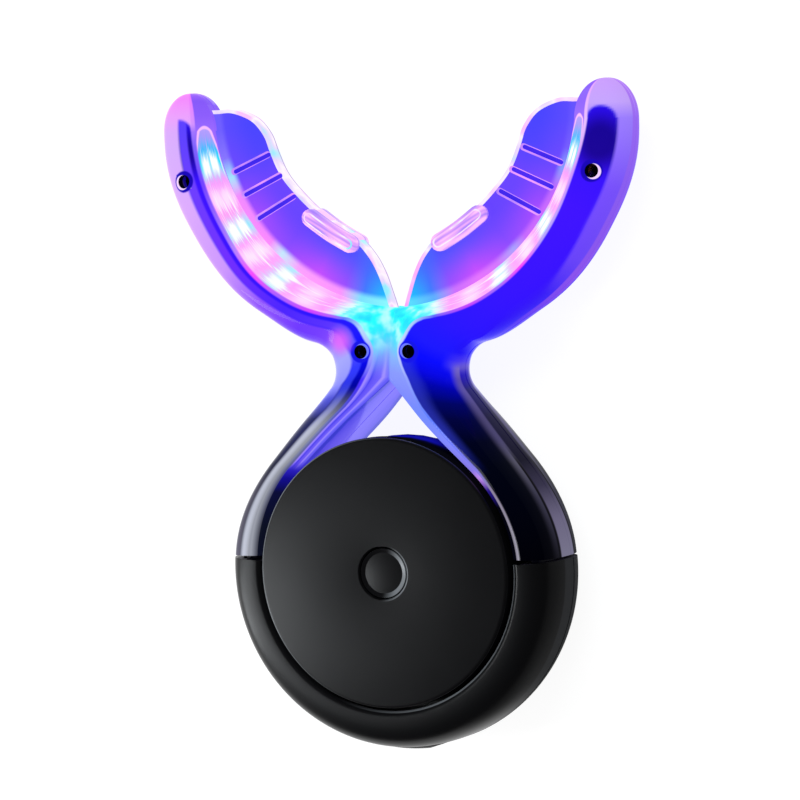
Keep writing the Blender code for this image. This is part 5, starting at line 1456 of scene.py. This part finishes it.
class LAMP_OT_mouthpiece(bpy.types.Operator):
    """Build the silicone bite plates with rounded edges, grooves and pads"""

    bl_idname = "lamp.mouthpiece"
    bl_label = "Mouthpiece"

    def execute(self, context):
        sizes = context.scene.lamp_sizes
        silicone = lit_silicone()
        rim_glow = lit_rim()
        groove_floor = lit_groove("lit_silicone_groove", "#3420de", "#4a26ea")
        groove_side = lit_groove("lit_silicone_groove_side", "#b080ff", "#f0a0ff")
        inner = smooth_through([self.plate_point(shares) for shares in plate_edge_shares])
        inner[0] = (NOTCH_HALF, NOTCH_Y)
        rim_radius = WINDOW_RADIUS + PLATE_GRIP
        start = math.asin(min((inner[-1][1] - WINDOW_CENTRE.y) / rim_radius, 1))
        end = -math.acos(-WINDOW_CENTRE.x / rim_radius)
        rim = [
            tuple(on_circle(rim_radius, between(start, end, i / RIM_STEPS), WINDOW_CENTRE))
            for i in range(RIM_STEPS + 1)
        ]
        right = inner + rim
        outline = right + [(-x, y) for x, y in reversed(right[:-1])]
        bm = sheet_of(outline, -PLATE_HALF, PLATE_HALF)
        level = [edge for edge in bm.edges if is_level(edge)]
        free = [edge for edge in level if self.is_free(edge.verts[0].co, edge.verts[1].co)]
        bmesh.ops.bevel(
            bm, geom=free, offset=sizes.plate_edge, affect="EDGES", segments=4, profile=0.5, material=-1,
            clamp_overlap=True,
        )
        broad = [face for face in bm.faces if face.calc_area() > WINDOW_RADIUS**2 / 2]
        bmesh.ops.inset_region(bm, faces=broad, thickness=PLATE_BORDER, use_even_offset=True)
        for face in bm.faces:
            middle = face.calc_center_median()
            face.material_index = int(face not in broad and self.is_free(middle, middle, RIM_REACH))
        finishes = (silicone, rim_glow, groove_floor, groove_side)
        plate = finished("mouthpiece_smooth", bm, finishes, SHARP_CLEAR)
        for turn in (1, -1):
            carve(plate, self.pad(turn, sizes), "UNION", sharp=SHARP_CLEAR)
            for side in (1, -1):
                for near, far in groove_shares:
                    bar = self.groove(self.plate_point(near), self.plate_point(far), side, turn, sizes)
                    carve(plate, bar, sharp=SHARP_CLEAR)
        carried(plate, "clear_silicone", "mouthpiece")
        return {"FINISHED"}

    def plate_point(self, shares):
        """Point of the right plate from its shares of the plate's reach and length."""
        return (PLATE_REACH * shares[0], NOTCH_Y + PLATE_LENGTH * shares[1])

    def is_free(self, start, end, reach=-PLATE_GAP):
        """Whether an edge is on the open side of a plate and not on the clamped rim."""
        middle = (start + end) / 2
        flat = Vector((abs(middle.x), middle.y)) - WINDOW_CENTRE
        return flat.length < WINDOW_RADIUS + reach

    def pad(self, turn, sizes):
        """Raised pad through a plate: a bar with round ends, rounded edges and a pale rim."""
        points = smooth_through([self.plate_point(shares) for shares in pad_shares])
        points = [Vector(point) for point in points]
        left = []
        right = []
        for i, point in enumerate(points):
            ahead = (points[min(i + 1, len(points) - 1)] - points[max(i - 1, 0)]).normalized()
            across = Vector((-ahead.y, ahead.x)) * sizes.pad_width / 2
            right.append(point - across)
            left.append(point + across)
        outline = right + round_end(points[-1], right[-1]) + left[::-1] + round_end(points[0], left[0])
        reach = PLATE_HALF + sizes.pad_height
        bm = sheet_of([(point.x * turn, point.y) for point in outline], -reach, reach)
        level = [edge for edge in bm.edges if is_level(edge)]
        bmesh.ops.bevel(
            bm, geom=level, offset=PAD_EDGE, affect="EDGES", segments=5, profile=0.5, material=-1,
            clamp_overlap=True,
        )
        crowns = [face for face in bm.faces if abs(face.normal.z) > 0.999]
        rims = bmesh.ops.inset_region(
            bm, faces=crowns, thickness=PAD_RIM, depth=-PAD_DISH, use_even_offset=True
        )
        for face in rims["faces"]:
            face.material_index = 1
        return bm

    def groove(self, near, far, side, turn, sizes):
        """Cutter of a grip groove: sloped sides, a flat floor and round ends."""
        near = Vector(near)
        far = Vector(far)
        ahead = (far - near).normalized()
        across = Vector((-ahead.y, ahead.x)) * sizes.groove_width / 2
        start = near + ahead * GROOVE_NEAR
        end = far - ahead * GROOVE_FAR
        outline = [start - across, end - across] + round_end(end, end - across)
        outline += [end + across, start + across] + round_end(start, start + across)
        top = PLATE_HALF * side
        bm = sheet_of([(point.x * turn, point.y) for point in outline], top, top + OVERRUN * side)
        bmesh.ops.recalc_face_normals(bm, faces=bm.faces)
        floor = [face for face in bm.faces if abs(face.calc_center_median().z - top) < TINY]
        slope = bmesh.ops.inset_region(
            bm, faces=floor, thickness=GROOVE_SLOPE, depth=sizes.groove_depth, use_even_offset=True
        )["faces"]
        for face in slope:
            face.material_index = 3
        for face in floor:
            face.material_index = 2
        return bm


class LAMP_OT_port_plug(bpy.types.Operator):
    """Build the soft rubber plug, bent to the ring, over the charging port"""

    bl_idname = "lamp.port_plug"
    bl_label = "Port plug"

    def execute(self, context):
        colour = context.scene.lamp_colours.rubber
        rubber = moulded_black("matt_black_rubber", colour, 0.55, 0.25 * MM, 0.01 * MM)
        low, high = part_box("port_plug")
        inside = -SHELL_RADIUS + PLUG_SEAT
        reach_z = (high.z - low.z) / 2
        bm = bmesh.new()
        bmesh.ops.create_cube(bm, size=1)
        bmesh.ops.subdivide_edges(bm, edges=bm.edges[:], cuts=15, use_grid_fill=True)
        bmesh.ops.scale(bm, vec=(high.x - low.x, inside - low.y, 2 * reach_z), verts=bm.verts)
        bmesh.ops.translate(bm, vec=(0, (inside + low.y) / 2, 0), verts=bm.verts)
        for vert in bm.verts:
            outward = (inside - vert.co.y) / (inside - low.y)
            sag = SHELL_RADIUS - math.sqrt(SHELL_RADIUS**2 - vert.co.x**2)
            edge = max(abs(vert.co.x) / high.x, abs(vert.co.z) / reach_z)
            vert.co.y += outward * (sag + PLUG_CROWN * smoothstep(0.55, 1.0, edge))
        plug = finished("port_plug_smooth", bm, rubber, 60)
        tongue = block(
            (-TONGUE_HALF_WIDTH, inside - GAP, -TONGUE_HALF_HEIGHT),
            (TONGUE_HALF_WIDTH, high.y, TONGUE_HALF_HEIGHT), TONGUE_EDGE, 2,
        )
        carve(plug, tongue, "UNION", sharp=60)
        carried(plug, "black_rubber", "port_plug", body="plug")
        return {"FINISHED"}


# Real sizes behind the patterns of the inner parts, and where the drum's painted blue light starts and is
# full
TRACK_PITCH = 6 * MM
COPPER_PITCH = 3 * MM
CREASE = 4 * MM
TURNING_MARK = 0.6 * MM
DIODE_PATCH = 0.8 * MM
DRUM_LIGHT = (DRUM_RADIUS - 2.2 * MM, DRUM_RADIUS - 0.3 * MM)


class LAMP_OT_inner_parts(bpy.types.Operator):
    """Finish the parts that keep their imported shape: drum, board, cell, lights, pins and socket"""

    bl_idname = "lamp.inner_parts"
    bl_label = "Inner parts"

    def execute(self, context):
        black = context.scene.lamp_colours.black
        finishes = {
            "core_drum": self.lit_drum(),
            "tact_switch": moulded_black("glass_filled_nylon", "#1a1a1a", 0.45),
            "controller_chip": moulded_black("epoxy_moulding", "#161616", 0.5, 0.08 * MM),
            "buzzer": moulded_black("buzzer_housing", "#141414", 0.4),
            "flex_connector": moulded_black("liquid_crystal_polymer", black, 0.5),
            "switch_plunger": moulded_black("plunger_rubber", "#222224", 0.6),
            "battery_foam": moulded_black("foam_pad", "#1e1e1e", 0.95, 0.4 * MM, 0.1 * MM),
            "main_board": self.solder_mask(),
            "battery_cell": self.pouch_foil(),
            "charge_socket": self.plated_steel("plated_steel_socket", 0.25),
            "board_screw": self.plated_steel("zinc_plated_screw", 0.35),
            "locating_pin": self.plated_steel("blackened_steel_pin", 0.45, "#2a2a30"),
            "led_flex": self.polyimide(),
        }
        blue = self.lit_diode("lit_blue_diode", "#28b4ff")
        red = self.lit_diode("lit_red_diode", "#ff2c60")
        for name in NODES:
            for start, finish in finishes.items():
                if name.startswith(start):
                    self.assign(name, finish)
            if name.startswith(("led_front", "led_rear")):
                number = int(name.split("_")[2])
                self.assign(name, blue if number % 2 else red)
        return {"FINISHED"}

    def assign(self, name, finish):
        """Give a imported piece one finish."""
        NODES[name].data.materials.clear()
        NODES[name].data.materials.append(finish)

    def lit_drum(self):
        """Dead-matt black ABS drum, with the blue light from the arms beside it painted in as glow."""
        finish, tree, shader = new_finish("dark_moulded_abs", "#030308", 0.8, Specular_IOR_Level=0.0)
        place = place_by_axis(tree)
        height = add(tree, "MapRange", {"Value": place["Z"], "From Max": 2 * HALF}).outputs["Result"]
        glow = add(tree, "ValToRGB", {"Fac": height}, stops=(
            (0.3, "#020214"), (0.5, "#0c0a88"), (0.64, "#1212b4"), (0.72, "#06062c"), (0.8, "#000004"),
        )).outputs["Color"]
        paint = layer(tree, "#000000", glow, (place["Y"], *DRUM_LIGHT))
        tree.links.new(paint, shader.inputs["Emission Color"])
        shader.inputs["Emission Strength"].default_value = 0.9
        return finish

    def solder_mask(self):
        """Green solder mask over copper: glossy lacquer, with darker tracks showing through."""
        finish, tree, shader = new_finish("green_solder_mask", "#0d5a2c", 0.3, Coat_Weight=0.5)
        place = add(tree, "TexCoord").outputs["Object"]
        tracks = add(tree, "TexBrick", {
            "Vector": place, "Scale": 1 / TRACK_PITCH, "Mortar Size": 0.03,
            "Color1": (*linear("#0d5a2c"), 1), "Color2": (*linear("#0b5027"), 1),
            "Mortar": (*linear("#1f7a44"), 1),
        })
        tree.links.new(tracks.outputs["Color"], shader.inputs["Base Color"])
        return finish

    def pouch_foil(self):
        """Aluminium-plastic pouch foil: dull silver with soft creases."""
        finish, tree, shader = new_finish("pouch_cell_foil", "#b9bbc2", 0.35, Metallic=0.7)
        crease, _ = grain(tree, CREASE, 3, 0, 1)
        bump = add(tree, "Bump", {"Height": crease, "Strength": 0.4, "Distance": 0.1 * MM})
        tree.links.new(bump.outputs["Normal"], shader.inputs["Normal"])
        return finish

    def plated_steel(self, name, roughness, colour="#c9c9ce"):
        """Plated steel: bright, with fine turning marks."""
        finish, tree, shader = new_finish(name, colour, roughness, Metallic=1.0)
        _, uneven = grain(tree, TURNING_MARK, 2, roughness - 0.08, roughness + 0.1)
        tree.links.new(uneven, shader.inputs["Roughness"])
        return finish

    def polyimide(self):
        """Amber polyimide flex: thin, smooth film with faint copper lines."""
        finish, tree, shader = new_finish("amber_polyimide_flex", "#b8741e", 0.35)
        place = add(tree, "TexCoord").outputs["Object"]
        lines = add(
            tree, "TexWave", {"Vector": place, "Scale": 1 / COPPER_PITCH, "Distortion": 0.0},
            bands_direction="Z",
        ).outputs["Fac"]
        tone = add(tree, "ValToRGB", {"Fac": lines}, stops=((0.3, "#a8661a"), (0.7, "#c98730")))
        tree.links.new(tone.outputs["Color"], shader.inputs["Base Color"])
        return finish

    def lit_diode(self, name, colour):
        """Lit diode: a clear block that glows, brighter and dimmer by a fine noise."""
        finish, tree, shader = new_finish(name, colour, 0.2)
        _, flicker = grain(tree, DIODE_PATCH, 1, 1.2, 2.2)
        shader.inputs["Emission Color"].default_value = (*linear(colour), 1)
        tree.links.new(flicker, shader.inputs["Emission Strength"])
        return finish


class LAMP_PT_panel(bpy.types.Panel):
    """Sizes, colours and pieces of the lamp"""

    bl_idname = "LAMP_PT_panel"
    bl_label = "Teeth whitening lamp"
    bl_space_type = "VIEW_3D"
    bl_region_type = "UI"
    bl_category = "Lamp"

    def draw(self, context):
        layout = self.layout
        for group in (context.scene.lamp_sizes, context.scene.lamp_colours):
            box = layout.box()
            for name in group.bl_rna.properties.keys():
                if name not in ("rna_type", "name"):
                    box.prop(group, name)
        for operator in OPERATORS:
            layout.operator(operator.bl_idname)


OPERATORS = (
    LAMP_OT_stage, LAMP_OT_covers, LAMP_OT_button, LAMP_OT_base_shells, LAMP_OT_clear_shells,
    LAMP_OT_arm_cores, LAMP_OT_mouthpiece, LAMP_OT_port_plug, LAMP_OT_inner_parts,
)
CLASSES = (LampSizes, LampColours, *OPERATORS, LAMP_PT_panel)


def register():
    for cls in CLASSES:
        bpy.utils.register_class(cls)
    bpy.types.Scene.lamp_sizes = PointerProperty(type=LampSizes)
    bpy.types.Scene.lamp_colours = PointerProperty(type=LampColours)


def unregister():
    del bpy.types.Scene.lamp_colours
    del bpy.types.Scene.lamp_sizes
    for cls in reversed(CLASSES):
        bpy.utils.unregister_class(cls)


def main():
    register()
    for operator in OPERATORS:
        getattr(bpy.ops.lamp, operator.bl_idname.split(".")[1])()


if __name__ == "__main__":
    main()
